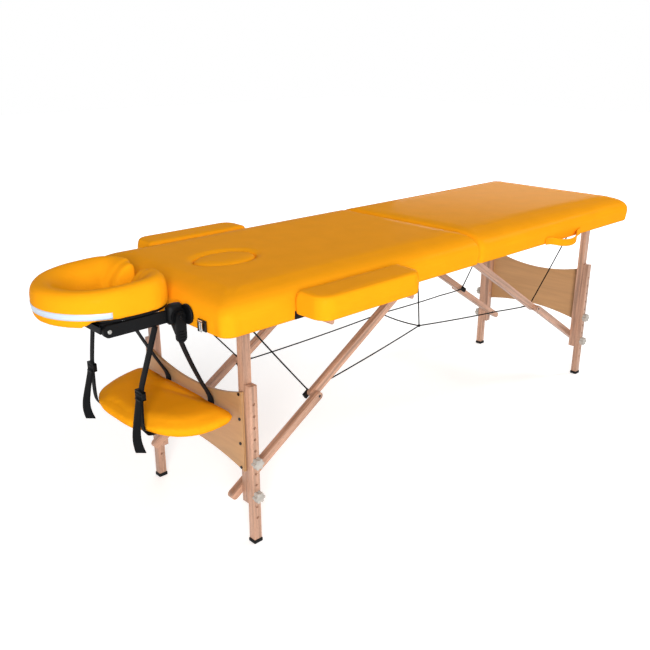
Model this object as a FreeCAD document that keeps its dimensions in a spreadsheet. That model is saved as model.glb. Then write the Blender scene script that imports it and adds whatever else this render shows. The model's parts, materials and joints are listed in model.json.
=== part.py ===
"""Folding massage table with face cradle, arm sling and two side armrests.

Millimetres, +Z up, +X towards the foot end, near side at -Y, floor at Z = 0. Places along X are
given from the seam between the two halves and are shifted so that the whole object is centred.
The head half is modelled, and what the foot half shares with it is its mirror image in the seam.
"""
import FreeCAD, Part
import math
import os
import re
import Sketcher

V = FreeCAD.Vector

SIZES = [
    ("section_length", 930, "length of one half of the table top"),
    ("table_width", 616, "width of the table top at the pad's widest line"),
    ("underside", 612, "height of the frame's lower edge above the floor"),
    ("rail_height", 45, "height of the frame rails"),
    ("rail_thick", 20, "thickness of the frame rails"),
    ("rail_inset", 8, "frame set in from the pad's widest line at the sides and the end"),
    ("seam_inset", 8, "frame set in from the pad at the seam"),
    ("seam_gap", 1, "gap between the two halves"),
    ("deck_thick", 5, "thickness of the plywood deck"),
    ("pad_thick", 38, "foam and cover above the deck"),
    ("cover_thick", 1.5, "thickness of the vinyl cover"),
    ("slip_gap", 0.3, "clearance between soft pieces and what they lie on"),
    ("side_draw", 6, "how far the cover is drawn in at its lower edge"),
    ("widest_height", 26, "height of the pad's widest line above its lower edge"),
    ("crown_run", 110, "width of the rounded edge at the sides and the end"),
    ("seam_run", 30, "width of the rounded edge at the seam"),
    ("end_corner", 50, "corner radius of the pad at the end"),
    ("seam_corner", 14, "corner radius of the pad at the seam"),
    ("hole_distance", 229, "centre of the face hole in from the end of the half"),
    ("hole_long", 91, "half of the face hole's longer axis, along the table"),
    ("hole_short", 65, "half of the face hole's shorter axis"),
    ("plug_gap", 1, "clearance round the face hole's plug"),
    ("plug_edge", 9, "rounding of the plug's upper edge"),
    ("hinge_distance", 124, "leg hinge in from the end of the half"),
    ("hinge_rise", 20, "leg and brace hinges above the frame's lower edge"),
    ("leg_depth", 24, "leg section along the table"),
    ("leg_width", 22, "leg section across the table"),
    ("post_inner", 195, "inner face of the posts from the centre line"),
    ("post_bottom", 112, "height of the posts' lower end"),
    ("extension_top", 444, "height of the extensions' upper end"),
    ("foot_height", 10, "height of the rubber feet"),
    ("foot_margin", 1.5, "rubber feet proud of the leg on each side"),
    ("hole_top", 395, "height of the top adjusting hole"),
    ("hole_pitch", 32, "distance between the adjusting holes"),
    ("hole_radius", 3.9, "radius of the adjusting holes"),
    ("upper_hole", 5, "adjusting hole that takes the upper knob, counted from the top one as 0"),
    ("lower_hole", 8, "adjusting hole that takes the lower knob"),
    ("knob_radius", 11, "radius of the knob's core"),
    ("knob_lobe", 4.5, "radius of the knob's lobes"),
    ("knob_height", 15, "height of the knob"),
    ("stud_radius", 3.8, "radius of the knob's moulded stud"),
    ("panel_thick", 8, "thickness of the plywood end panel"),
    ("panel_top", 427, "height of the panel's upper corners"),
    ("panel_top_dip", 38, "how far the panel's upper edge dips at the centre"),
    ("panel_bottom", 207, "height of the panel's lower corners"),
    ("panel_bottom_rise", 28, "how far the panel's lower edge rises at the centre"),
    ("screw_margin", 9, "panel screws from the panel's corners"),
    ("screw_radius", 2, "radius of the panel screws"),
    ("screw_head", 4, "radius of the screw heads"),
    ("screw_head_height", 2.2, "height of the screw heads"),
    ("brace_foot", 155, "height of the lower brace's pivot on the post"),
    ("brace_distance", 50, "upper brace's pivot from the seam"),
    ("brace_height", 22, "braces' width in the plane of the fold"),
    ("brace_thick", 19.5, "braces' thickness across the table"),
    ("brace_tail", 40, "lower brace past its pivot, to the middle of its rounded end"),
    ("layer_gap", 0.5, "gap between posts, lower braces and upper braces"),
    ("pin_radius", 4, "radius of the pivot pins"),
    ("pin_clear", 0.1, "radial clearance round the pivot pins"),
    ("bracket_thick", 3, "sheet thickness of the pivot brackets"),
    ("bracket_length", 40, "length of the pivot brackets"),
    ("bracket_gap", 0.5, "gap between a bracket's ears and the wood in it"),
    ("seam_hinge_place", 200, "seam hinges from the centre line"),
    ("seam_hinge_drop", 6, "seam hinge axis below the frame's lower edge"),
    ("seam_knuckle", 4, "radius of the seam hinge knuckles"),
    ("seam_pin", 2, "radius of the seam hinge pins"),
    ("seam_hinge_width", 44, "width of a seam hinge across the table"),
    ("knuckle_gap", 0.4, "gap between neighbouring knuckles"),
    ("leaf_length", 28, "length of a hinge leaf"),
    ("leaf_thick", 2.5, "thickness of a hinge leaf"),
    ("cable_radius", 1.75, "radius of the bracing cables"),
    ("crimp_radius", 5, "radius of the crimps that join the cables at the centre"),
    ("knot_height", 360, "height of the cables' centre joints"),
    ("knot_place", 85, "cables' centre joints from the centre line"),
    ("handle_distance", 460, "carry handle's centre from the seam"),
    ("handle_length", 216, "length of the carry handle"),
    ("handle_bow", 32, "how far the carry handle stands off the side"),
    ("handle_band", 26, "height of the carry handle's band"),
    ("handle_thick", 4, "thickness of the carry handle's band"),
    ("handle_foot", 18, "length of the carry handle's sewn ends"),
    ("handle_drop", 10, "carry handle's lower edge below the frame's lower edge"),
    ("latch_place", 225, "latches from the centre line"),
    ("latch_width", 30, "width of the latch base"),
    ("latch_height", 26, "height of the latch base"),
    ("latch_thick", 3, "thickness of the latch base"),
    ("latch_rise", 2, "latch base above the frame's lower edge"),
    ("hasp_width", 16, "width of the latch hasp"),
    ("hasp_thick", 2, "thickness of the latch hasp"),
    ("hasp_knuckle", 3.2, "radius of the hasp's knuckle"),
    ("hasp_pin", 1.5, "radius of the hasp's pin"),
    ("peg_place", 150, "face cradle pegs from the centre line"),
    ("peg_rise", 26, "face cradle pegs above the frame's lower edge"),
    ("peg_radius", 8, "radius of the face cradle pegs"),
    ("peg_length", 90, "length of the face cradle pegs inside the table"),
    ("peg_clear", 0.3, "radial clearance round the pegs"),
    ("bush_wall", 2.5, "wall of the socket bushes"),
    ("housing_distance", 22, "cradle housings beyond the end of the half"),
    ("housing_radius", 20, "radius of the cradle housings"),
    ("housing_width", 26, "width of the cradle housings"),
    ("arm_thick", 10, "thickness of the cradle arms"),
    ("arm_height", 28, "height of the cradle arms"),
    ("tilt_distance", 188, "cradle's tilt axis beyond the end of the half"),
    ("tilt_radius", 8, "radius of the cradle's front tube"),
    ("tilt_lug", 15, "width of the platform's lugs"),
    ("tilt_lug_place", 62, "platform's lugs from the centre line"),
    ("tilt_lug_radius", 13, "outer radius of the platform's lugs"),
    ("platform_thick", 6, "thickness of the cradle platform"),
    ("platform_inset", 16, "platform set in from the cushion"),
    ("lever_width", 26, "width of the cam lever"),
    ("lever_length", 62, "length of the cam lever below its axis"),
    ("lever_thick", 9, "thickness of the cam lever"),
    ("face_reach", 273, "front of the face cushion beyond the end of the half"),
    ("face_back", 10, "back of the face cushion beyond the end of the half"),
    ("face_half_width", 146, "half of the face cushion's width"),
    ("face_corner", 70, "corner radius of the face cushion at the back"),
    ("face_hole_half", 60, "half of the face opening's width"),
    ("face_hole_back", 82, "back of the face opening beyond the end of the half"),
    ("face_mouth", 28, "half of the gap between the face cushion's ends"),
    ("face_thick", 76, "thickness of the face cushion"),
    ("face_widest", 26, "height of the face cushion's widest line"),
    ("face_run", 30, "width of the face cushion's rounded edge"),
    ("face_draw", 7, "how far the face cushion is drawn in underneath"),
    ("sling_back", 14, "back edge of the arm sling from the end panel"),
    ("sling_front", 215, "front edge of the arm sling from its back edge"),
    ("sling_half_width", 215, "half of the arm sling's width"),
    ("sling_corner", 22, "corner radius of the arm sling at the back"),
    ("sling_bottom", 348, "height of the arm sling's lower face"),
    ("sling_thick", 38, "thickness of the arm sling"),
    ("sling_widest", 15, "height of the arm sling's widest line"),
    ("sling_run", 55, "width of the arm sling's rounded edge"),
    ("sling_draw", 9, "how far the arm sling is drawn in underneath"),
    ("strap_width", 25, "width of the sling straps"),
    ("strap_thick", 2, "thickness of the sling straps"),
    ("strap_back_place", 134, "upper end of the back straps from the centre line"),
    ("strap_front_distance", 74, "upper end of the front straps beyond the end of the half"),
    ("strap_low_place", 96, "lower ends of the straps from the centre line"),
    ("strap_inset", 14, "lower ends of the straps in from the sling's edges"),
    ("buckle_height", 455, "height of the strap buckles"),
    ("buckle_distance", 15, "strap buckles behind the arm sling's front edge"),
    ("buckle_place", 117, "strap buckles from the centre line"),
    ("buckle_width", 33, "width of the strap buckles"),
    ("buckle_tall", 22, "height of the strap buckles"),
    ("buckle_thick", 7, "thickness of the strap buckles"),
    ("tail_length", 95, "length of the loose strap ends"),
    ("tail_lean", 12, "how far the loose strap ends lean outwards"),
    ("armrest_front", 195, "head end of the armrests in from the end of the half"),
    ("armrest_length", 350, "length of the armrests"),
    ("armrest_width", 104, "width of the armrests"),
    ("armrest_bottom", 630, "height of the armrests' lower face"),
    ("armrest_board", 12, "thickness of the armrests' base boards"),
    ("armrest_board_inset", 10, "base boards set in from the armrest pads"),
    ("armrest_pad", 46, "thickness of the armrest pads"),
    ("armrest_corner", 40, "outer corner radius of the armrests"),
    ("armrest_inner_corner", 10, "inner corner radius of the armrests"),
    ("armrest_widest", 14, "height of the armrest pads' widest line"),
    ("armrest_run", 26, "width of the armrest pads' rounded edge"),
    ("armrest_draw", 4, "how far the armrest pads are drawn in underneath"),
    ("armrest_peg", 6, "radius of the armrest pegs"),
    ("armrest_peg_inset", 36, "armrest pegs from the armrest's ends"),
    ("armrest_peg_depth", 46, "armrest pegs inside the table"),
]

KNOB_LOBES = 6
CROWN_STEPS = 5
ADJUSTING_HOLES = 11
PANEL_SCREWS = 4

doc = FreeCAD.newDocument("MassageTable")
sheet = doc.addObject("Spreadsheet::Sheet", "Sizes")
for row, (alias, size, meaning) in enumerate(SIZES, start=1):
    sheet.set(f"A{row}", meaning)
    sheet.set(f"B{row}", str(size))
    sheet.setAlias(f"B{row}", alias)
doc.recompute()

ALIASES = re.compile(r"\b(" + "|".join(alias for alias, _, _ in SIZES) + r")\b")
NODES = {}

# Places that several pieces share, written in the sheet's own names
HINGE_X = "(section_length - hinge_distance)"
PANEL_FACE = f"({HINGE_X} + leg_depth / 2 + panel_thick)"
HOLE_X = "(section_length - hole_distance)"
ARMREST_X = "(section_length - armrest_front)"
HOUSING_X = "(section_length + housing_distance)"
TILT_X = "(section_length + tilt_distance)"
FACE_FRONT = "(section_length + face_reach)"
FACE_BACK = "(section_length + face_back)"
FACE_HOLE_BACK = "(section_length + face_hole_back)"
SLING_BACK = f"({PANEL_FACE} + sling_back)"
SLING_FRONT = f"({SLING_BACK} + sling_front)"
STRAP_TOP = "(section_length + strap_front_distance)"
BUCKLE_X = f"({SLING_FRONT} - buckle_distance)"
LATCH_FACE = "(section_length + slip_gap)"
HASP_X = f"({LATCH_FACE} + latch_thick + hasp_knuckle + pin_clear)"
SEAM = f"(({FACE_FRONT} - {HASP_X}) / 2)"
HALF = "(table_width / 2)"
RAIL_OUT = f"({HALF} - rail_inset)"
RAIL_IN = f"({RAIL_OUT} - rail_thick)"
RAIL_END = "(section_length - rail_inset)"
RAIL_SEAM = "(seam_gap / 2 + seam_inset)"
RAIL_TOP = "(underside + rail_height)"
DECK_TOP = f"({RAIL_TOP} + deck_thick)"
TABLE_TOP = f"({DECK_TOP} + pad_thick)"
WIDEST = "(underside + widest_height)"
HINGE_Z = "(underside + hinge_rise)"
POST_OUT = "(post_inner + leg_width)"
KNOB_FACE = f"({POST_OUT} + leg_width)"
LOWER_OUT = "(post_inner - layer_gap)"
LOWER_IN = f"({LOWER_OUT} - brace_thick)"
UPPER_OUT = f"({LOWER_IN} - layer_gap)"
UPPER_IN = f"({UPPER_OUT} - brace_thick)"
BRACE_RUN = f"({HINGE_X} - brace_distance)"
BRACE_DROP = f"({HINGE_Z} - brace_foot)"
BRACE_SPAN = f"sqrt({BRACE_RUN} ^ 2 + {BRACE_DROP} ^ 2)"
UPPER_LENGTH = f"(({BRACE_SPAN} + {BRACE_RUN} - {BRACE_DROP}) / 2)"
LOWER_LENGTH = f"(({BRACE_SPAN} - {BRACE_RUN} + {BRACE_DROP}) / 2)"
BRACE_SLOPE = f"atan2({BRACE_DROP}; {BRACE_RUN})"
KNEE_DISTANCE = f"(brace_distance + {UPPER_LENGTH} * {BRACE_RUN} / {BRACE_SPAN})"
KNEE_Z = f"({HINGE_Z} - {UPPER_LENGTH} * {BRACE_DROP} / {BRACE_SPAN})"
SEAM_AXIS = "(underside - seam_hinge_drop)"
PEG_Z = "(underside + peg_rise)"
ARM_BOTTOM = f"({PEG_Z} - arm_height / 2)"
PLATFORM_Z = f"({PEG_Z} + arm_height / 2 + slip_gap)"
CUSHION_Z = f"({PLATFORM_Z} + platform_thick + slip_gap)"
SLING_TOP = "(sling_bottom + sling_thick)"
ARMREST_Y = f"({HALF} + slip_gap)"
ARMREST_PAD_Z = "(armrest_bottom + armrest_board + slip_gap)"
ARMREST_PEG_Z = "(armrest_bottom - armrest_peg)"
LATCH_Z = "(underside + latch_rise)"
HASP_Z = f"({LATCH_Z} + latch_height - hasp_knuckle)"


def bound(text):
    """The expression with every size name pointed at its cell."""
    return ALIASES.sub(r"Sizes.\1", text)


def number(text):
    """The present value of an expression."""
    result = sheet.evalExpression(bound(text))
    return float(getattr(result, "Value", result))


def put(thing, x, y, z):
    """Bind a thing's place; x counts from the seam."""
    for axis, text in zip("xyz", (f"{SEAM} + ({x})", y, z)):
        thing.setExpression(f"Placement.Base.{axis}", bound(text))
    return thing


def node(name, thing):
    """Keep a finished piece under its own name."""
    thing.Label = name
    NODES[name] = thing
    return thing


def box(x, y, z, length, width, height):
    thing = doc.addObject("Part::Box", "Block")
    for field, text in (("Length", length), ("Width", width), ("Height", height)):
        thing.setExpression(field, bound(text))
    return put(thing, x, y, z)


AXES = {"X": FreeCAD.Rotation(V(0, 1, 0), 90), "Y": FreeCAD.Rotation(V(1, 0, 0), -90),
        "Z": FreeCAD.Rotation()}


def rod(axis, x, y, z, radius, length):
    """A round bar from the given point along +X, +Y or +Z."""
    thing = doc.addObject("Part::Cylinder", "Rod")
    thing.Placement = FreeCAD.Placement(V(), AXES[axis])
    thing.setExpression("Radius", bound(radius))
    thing.setExpression("Height", bound(length))
    return put(thing, x, y, z)


def fuse(*things):
    thing = doc.addObject("Part::MultiFuse", "Joined")
    thing.Shapes = list(things)
    return thing


def cut(base, *tools):
    thing = doc.addObject("Part::Cut", "Trimmed")
    thing.Base = base
    thing.Tool = tools[0] if len(tools) == 1 else group(*tools)
    return thing


def within(base, limit):
    """What of a piece lies inside a closed form."""
    thing = doc.addObject("Part::Common", "Inside")
    thing.Base = base
    thing.Tool = limit
    return thing


def group(*things):
    thing = doc.addObject("Part::Compound", "Group")
    thing.Links = list(things)
    return thing


def mirrored(source, normal):
    """The mirror image across the centre line, or in the seam."""
    thing = doc.addObject("Part::Mirroring", "Mirrored")
    thing.Source = source
    thing.Normal = normal
    thing.setExpression("Base.x", bound(SEAM))
    return thing


def far_to_near(thing):
    return mirrored(thing, V(0, 1, 0))


def head_to_foot(thing):
    return mirrored(thing, V(1, 0, 0))


def both_sides(thing):
    return group(thing, far_to_near(thing))


def free_shape(shape):
    """A piece whose shape is worked out here, in places counted from the seam."""
    thing = doc.addObject("Part::Feature", "Formed")
    thing.Shape = shape
    thing.Placement = FreeCAD.Placement(V(number(SEAM), 0, 0), FreeCAD.Rotation())
    return thing


def outline(points, z):
    """A closed wire at one height. A point with a third entry is the middle of an arc."""
    corners = [V(p[0], p[1], z) for p in points]
    edges = []
    place = 0
    while place < len(points):
        after = corners[(place + 1) % len(points)]
        if len(points[(place + 1) % len(points)]) == 3:
            end = corners[(place + 2) % len(points)]
            edges.append(Part.Arc(corners[place], after, end).toShape())
            place += 2
        else:
            edges.append(Part.LineSegment(corners[place], after).toShape())
            place += 1
    return Part.Wire(edges)


def arc_middle(cx, cy, radius, degrees):
    turn = math.radians(degrees)
    return (cx + radius * math.cos(turn), cy + radius * math.sin(turn), "arc")


def rounded_box(x0, x1, y0, y1, r_low_x, r_high_x):
    """Outline of a rectangle with one corner radius at each end: (near, far) pairs of radii."""
    (near_a, far_a), (near_b, far_b) = r_low_x, r_high_x
    return [(x0 + near_a, y0), (x1 - near_b, y0), arc_middle(x1 - near_b, y0 + near_b, near_b, -45),
            (x1, y0 + near_b), (x1, y1 - far_b), arc_middle(x1 - far_b, y1 - far_b, far_b, 45),
            (x1 - far_b, y1), (x0 + far_a, y1), arc_middle(x0 + far_a, y1 - far_a, far_a, 135),
            (x0, y1 - far_a), (x0, y0 + near_a), arc_middle(x0 + near_a, y0 + near_a, near_a, 225)]


def crowned(shape_at, bottom, widest, top, draw, skin=0.0, start=None):
    """A padded solid: drawn in below, widest part way up, then rounded over to a flat crown.

    shape_at(share, inset) gives the outline where the rounded edge has run through that share of
    its width. A start height cuts the pad off below it.
    """
    rise = top - skin - widest
    first = 0.0 if start is None else math.asin((start - widest) / rise)
    wires = [] if start is not None else [outline(shape_at(0.0, draw + skin), bottom)]
    for step in range(CROWN_STEPS + 1):
        turn = first + (math.pi / 2 - first) * step / CROWN_STEPS
        wires.append(outline(shape_at(1 - math.cos(turn), skin), widest + rise * math.sin(turn)))
    return Part.makeLoft(wires, True)


def origin_plane(body, role):
    return next(item for item in body.Origin.OriginFeatures if item.Role == role)


def new_sketch(body, role):
    sketch = body.newObject("Sketcher::SketchObject", "Outline")
    sketch.AttachmentSupport = (origin_plane(body, role), [""])
    sketch.MapMode = "FlatFace"
    return sketch


def tie(sketch, text, kind, *where):
    """Add a constraint whose value follows an expression."""
    index = sketch.addConstraint(Sketcher.Constraint(kind, *where, number(text)))
    sketch.setExpression(f"Constraints[{index}]", bound(text))


def circle(sketch, x, radius, y=None):
    """A circle at the sketch's origin, on its X axis or at a height above that."""
    centre = V(number(x), 0 if y is None else number(y), 0)
    index = sketch.addGeometry(Part.Circle(centre, V(0, 0, 1), number(radius)))
    tie(sketch, radius, "Radius", index)
    if x == "0":
        sketch.addConstraint(Sketcher.Constraint("Coincident", index, 3, -1, 1))
        return
    if y is None:
        sketch.addConstraint(Sketcher.Constraint("PointOnObject", index, 3, -1))
    else:
        tie(sketch, y, "DistanceY", -1, 1, index, 3)
    tie(sketch, x, "DistanceX", -1, 1, index, 3)


def pad(body, sketch, length):
    """Raise a sketch of the XZ plane towards +Y."""
    thing = body.newObject("PartDesign::Pad", "Raised")
    thing.Profile = sketch
    thing.Reversed = True
    thing.setExpression("Length", bound(length))
    return thing


def pocket(body, sketch):
    """Drill a sketch of the XZ plane right through, towards +Y."""
    thing = body.newObject("PartDesign::Pocket", "Drilled")
    thing.Profile = sketch
    thing.Type = "ThroughAll"
    thing.Midplane = True
    return thing


def bar(length, holes):
    """A brace along its own X axis, round at both ends, drilled for its pivots."""
    body = doc.addObject("PartDesign::Body", "Brace")
    sketch = new_sketch(body, "XZ_Plane")
    reach, radius = number(length), number("brace_height / 2")
    up = V(0, 0, 1)
    sketch.addGeometry(Part.ArcOfCircle(Part.Circle(V(), up, radius), math.pi / 2, 3 * math.pi / 2))
    sketch.addGeometry(Part.LineSegment(V(0, -radius), V(reach, -radius)))
    far_end = Part.Circle(V(reach, 0), up, radius)
    sketch.addGeometry(Part.ArcOfCircle(far_end, -math.pi / 2, math.pi / 2))
    sketch.addGeometry(Part.LineSegment(V(reach, radius), V(0, radius)))
    for geo in range(4):
        sketch.addConstraint(Sketcher.Constraint("Tangent", geo, 2, (geo + 1) % 4, 1))
    sketch.addConstraint(Sketcher.Constraint("Coincident", 0, 3, -1, 1))
    sketch.addConstraint(Sketcher.Constraint("PointOnObject", 2, 3, -1))
    tie(sketch, "brace_height / 2", "Radius", 0)
    tie(sketch, length, "DistanceX", -1, 1, 2, 3)
    pad(body, sketch, "brace_thick")
    drilled = new_sketch(body, "XZ_Plane")
    for hole in holes:
        circle(drilled, hole, "pin_radius + pin_clear")
    pocket(body, drilled)
    return body


def place_bar(body, x, y, z, slope):
    """Lay a brace from the given point, sloping down towards -X from its far end."""
    body.Placement = FreeCAD.Placement(V(), FreeCAD.Rotation(V(0, 1, 0), -number(slope)))
    body.setExpression("Placement.Rotation.Angle", bound(f"-({slope})"))
    return put(body, x, y, z)


# Frames and decks of the two halves
def frame_rails():
    reach = f"{RAIL_END} - {RAIL_SEAM}"
    side = box(f"-{RAIL_END}", RAIL_IN, "underside", reach, "rail_thick", "rail_height")
    across = f"2 * {RAIL_IN}"
    end = box(f"-{RAIL_END}", f"-{RAIL_IN}", "underside", "rail_thick", across, "rail_height")
    centre = box(f"-{RAIL_SEAM} - rail_thick", f"-{RAIL_IN}", "underside", "rail_thick", across,
                 "rail_height")
    inside = free_shape(table_pad(number("cover_thick + slip_gap")))
    sides, end = within(both_sides(side), inside), within(end, inside)
    sockets = both_sides(socket("bush_wall", "rail_thick + 2 * bush_wall"))
    bores = both_sides(group(*armrest_bores("bush_wall")))
    node("head_rails", group(cut(sides, bores), cut(end, sockets), centre))
    node("foot_rails", head_to_foot(group(sides, end, centre)))


def deck():
    board = box(f"-{RAIL_END}", f"-{RAIL_OUT}", RAIL_TOP, f"{RAIL_END} - {RAIL_SEAM}",
                f"2 * {RAIL_OUT}", "deck_thick")
    blank = within(board, free_shape(table_pad(number("cover_thick + slip_gap"))))
    node("head_deck", cut(blank, oval("plug_gap", RAIL_TOP, "deck_thick + pad_thick")))
    node("foot_deck", head_to_foot(blank))


def oval(margin, z, height):
    """An upright oval block in the face hole."""
    ring = doc.addObject("Part::Ellipse", "Oval")
    ring.setExpression("MajorRadius", bound(f"hole_long + {margin}"))
    ring.setExpression("MinorRadius", bound(f"hole_short + {margin}"))
    put(ring, f"-{HOLE_X}", "0", z)
    block = doc.addObject("Part::Extrusion", "OvalBlock")
    block.Base = ring
    block.DirMode = "Custom"
    block.Dir = V(0, 0, 1)
    block.Solid = True
    block.setExpression("LengthFwd", bound(height))
    return block


# Sockets for the face cradle and the armrests
def socket(margin, length):
    """The bore for a cradle peg, with a margin round it."""
    return rod("X", f"-{RAIL_END} - {margin}", "peg_place", PEG_Z,
               f"peg_radius + peg_clear + {margin}", length)


def armrest_bores(margin):
    """The two bores for an armrest's pegs, with a margin round them."""
    reach = f"armrest_peg + peg_clear + {margin}"
    return [rod("Y", f"-{ARMREST_X} + {along}", f"{RAIL_IN} - bush_wall", ARMREST_PEG_Z, reach,
                "rail_thick + rail_inset + 2 * bush_wall") for along in armrest_pegs()]


def armrest_pegs():
    return ["armrest_peg_inset", "(armrest_length - armrest_peg_inset)"]


def socket_bushes():
    cradle = cut(rod("X", f"-{RAIL_END}", "peg_place", PEG_Z, "peg_radius + peg_clear + bush_wall",
                     "rail_thick"), socket("0", "rail_thick + bush_wall"))
    sleeves = [cradle]
    for along, bore in zip(armrest_pegs(), armrest_bores("0")):
        sleeve = rod("Y", f"-{ARMREST_X} + {along}", RAIL_IN, ARMREST_PEG_Z,
                     "armrest_peg + peg_clear + bush_wall", "rail_thick")
        sleeves.append(cut(sleeve, bore))
    node("socket_bushes", both_sides(group(*sleeves)))


# Pads of the two halves
def table_pad(skin, start=None):
    half, reach, gap = number(HALF), number("section_length"), number("seam_gap / 2")
    run, seam_run = number("crown_run"), number("seam_run")
    corner, seam_corner = number("end_corner"), number("seam_corner")

    def shape_at(share, inset):
        side, seam = run * share + inset, seam_run * share + inset
        outer, inner = corner + side / 4, seam_corner + seam / 4
        return rounded_box(side - reach, -gap - seam, side - half, half - side, (outer, outer),
                           (inner, inner))

    return crowned(shape_at, number("underside"), number(WIDEST), number(TABLE_TOP), number("side_draw"),
                   skin, start)


def pads():
    wall, slip = number("cover_thick"), number("slip_gap")
    cover = table_pad(0.0).cut(table_pad(wall))
    foam = table_pad(wall + slip, number(DECK_TOP))
    seam = V(1, 0, 0)
    node("foot_cover", free_shape(cover.mirror(V(), seam)))
    node("foot_foam", free_shape(foam.mirror(V(), seam)))
    opened = free_shape(cover)
    bores = both_sides(group(socket("bush_wall", "4 * bush_wall + rail_inset"), *armrest_bores("bush_wall")))
    reach = socket_mouth()
    node("head_cover", cut(opened, oval("plug_gap", RAIL_TOP, "deck_thick + pad_thick + plug_gap"),
                           bores, both_sides(reach)))
    node("head_foam", cut(free_shape(foam), oval("plug_gap", RAIL_TOP, "deck_thick + pad_thick")))


def socket_mouth():
    """Clears the cover in front of a cradle socket."""
    return rod("X", "-section_length - bush_wall", "peg_place", PEG_Z,
               "peg_radius + peg_clear + bush_wall", "rail_inset + 2 * bush_wall")


def face_plug():
    block = oval("0", RAIL_TOP, "deck_thick + pad_thick - cover_thick")
    doc.recompute()
    rounded = doc.addObject("Part::Fillet", "RoundedPlug")
    rounded.Base = block
    top = max(range(len(block.Shape.Edges)), key=lambda i: block.Shape.Edges[i].CenterOfMass.z)
    radius = number("plug_edge")
    rounded.Edges = [(top + 1, radius, radius)]
    node("face_plug", rounded)


# Brackets and hinges
def bracket(x, inner, outer):
    """A folded bracket under the deck, with the pin that its ears carry."""
    base_z = f"{RAIL_TOP} - bracket_thick"
    low, high = f"({inner} - bracket_gap - bracket_thick)", f"({outer} + bracket_gap)"
    base = box(f"{x} - bracket_length / 2", low, base_z, "bracket_length",
               f"{high} - {low} + bracket_thick", "bracket_thick")
    parts = [base]
    for y in (low, high):
        parts.append(box(f"{x} - brace_height / 2", y, f"{HINGE_Z} - brace_height / 2", "brace_height",
                         "bracket_thick", f"{base_z} - {HINGE_Z} + brace_height / 2"))
    parts.append(rod("Y", x, low, HINGE_Z, "pin_radius", f"{high} - {low} + bracket_thick"))
    return fuse(*parts)


def pivot_brackets():
    head = both_sides(group(bracket(f"-{HINGE_X}", "post_inner", POST_OUT),
                            bracket("-brace_distance", UPPER_IN, UPPER_OUT)))
    node("head_pivot_brackets", head)
    node("foot_pivot_brackets", head_to_foot(head))


def hinge_leaf(knuckles, bore):
    """One leaf of a seam hinge on the head side: its plate, and a knuckle at each given place."""
    width = "seam_hinge_width"
    parts = [box("-leaf_length", "seam_hinge_place - seam_hinge_width / 2", "underside - leaf_thick",
                 "leaf_length - seam_hinge_drop", width, "leaf_thick")]
    for start, length in knuckles:
        y = f"seam_hinge_place - seam_hinge_width / 2 + {start}"
        parts.append(rod("Y", "0", y, SEAM_AXIS, "seam_knuckle", length))
        parts.append(box("-seam_hinge_drop", y, SEAM_AXIS, "seam_hinge_drop", length, "seam_hinge_drop"))
    bored = rod("Y", "0", "seam_hinge_place - seam_hinge_width", SEAM_AXIS, bore, "2 * seam_hinge_width")
    return cut(fuse(*parts), bored)


def seam_hinges():
    third = "(seam_hinge_width / 3)"
    side = f"{third} - knuckle_gap / 2"
    middle = f"{third} - knuckle_gap"
    outer = hinge_leaf([("0", side), (f"2 * {third} + knuckle_gap / 2", side)], "seam_pin - knuckle_gap")
    pin = rod("Y", "0", "seam_hinge_place - seam_hinge_width / 2", SEAM_AXIS, "seam_pin", "seam_hinge_width")
    node("head_hinge_leaves", both_sides(fuse(outer, pin)))
    inner = hinge_leaf([(f"{third} + knuckle_gap / 2", middle)], "seam_pin + pin_clear")
    node("foot_hinge_leaves", head_to_foot(both_sides(inner)))


# Leg frames
def leg_post():
    x = f"-{HINGE_X} - leg_depth / 2"
    stem = box(x, "post_inner", "post_bottom", "leg_depth", "leg_width", f"{HINGE_Z} - post_bottom")
    top = rod("Y", f"-{HINGE_X}", "post_inner", HINGE_Z, "leg_depth / 2", "leg_width")
    bores = [rod("Y", f"-{HINGE_X}", "post_inner - layer_gap", z, radius, "leg_width + 2 * layer_gap")
             for z, radius in ((HINGE_Z, "pin_radius + pin_clear"), ("brace_foot", "pin_radius + pin_clear"),
                               (knob_z("upper_hole"), "hole_radius"), (knob_z("lower_hole"), "hole_radius"))]
    return cut(fuse(stem, top), *bores)


def knob_z(hole):
    return f"(hole_top - {hole} * hole_pitch)"


def leg_extension():
    """The drilled lower leg: a bar along Z with a row of adjusting holes."""
    body = doc.addObject("PartDesign::Body", "Extension")
    sketch = new_sketch(body, "XZ_Plane")
    wide, low, high = number("leg_depth"), number("foot_height"), number("extension_top")
    corners = [V(0, low, 0), V(wide, low, 0), V(wide, high, 0), V(0, high, 0)]
    for place in range(4):
        sketch.addGeometry(Part.LineSegment(corners[place], corners[(place + 1) % 4]))
        sketch.addConstraint(Sketcher.Constraint("Vertical" if place % 2 else "Horizontal", place))
    for place in range(4):
        sketch.addConstraint(Sketcher.Constraint("Coincident", place, 2, (place + 1) % 4, 1))
    sketch.addConstraint(Sketcher.Constraint("PointOnObject", 0, 1, -2))
    tie(sketch, "foot_height", "DistanceY", -1, 1, 0, 1)
    tie(sketch, "extension_top", "DistanceY", -1, 1, 2, 2)
    tie(sketch, "leg_depth", "DistanceX", 0, 1, 0, 2)
    pad(body, sketch, "leg_width")
    drilled = new_sketch(body, "XZ_Plane")
    circle(drilled, "leg_depth / 2", "hole_radius", "hole_top")
    hole = pocket(body, drilled)
    row_of_holes = body.newObject("PartDesign::LinearPattern", "HoleRow")
    row_of_holes.Originals = [hole]
    row_of_holes.Direction = (drilled, ["V_Axis"])
    row_of_holes.Reversed = True
    row_of_holes.Occurrences = ADJUSTING_HOLES
    row_of_holes.setExpression("Length", bound(f"hole_pitch * {ADJUSTING_HOLES - 1}"))
    body.Tip = row_of_holes
    return put(body, f"-{HINGE_X} - leg_depth / 2", POST_OUT, "0")


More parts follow.
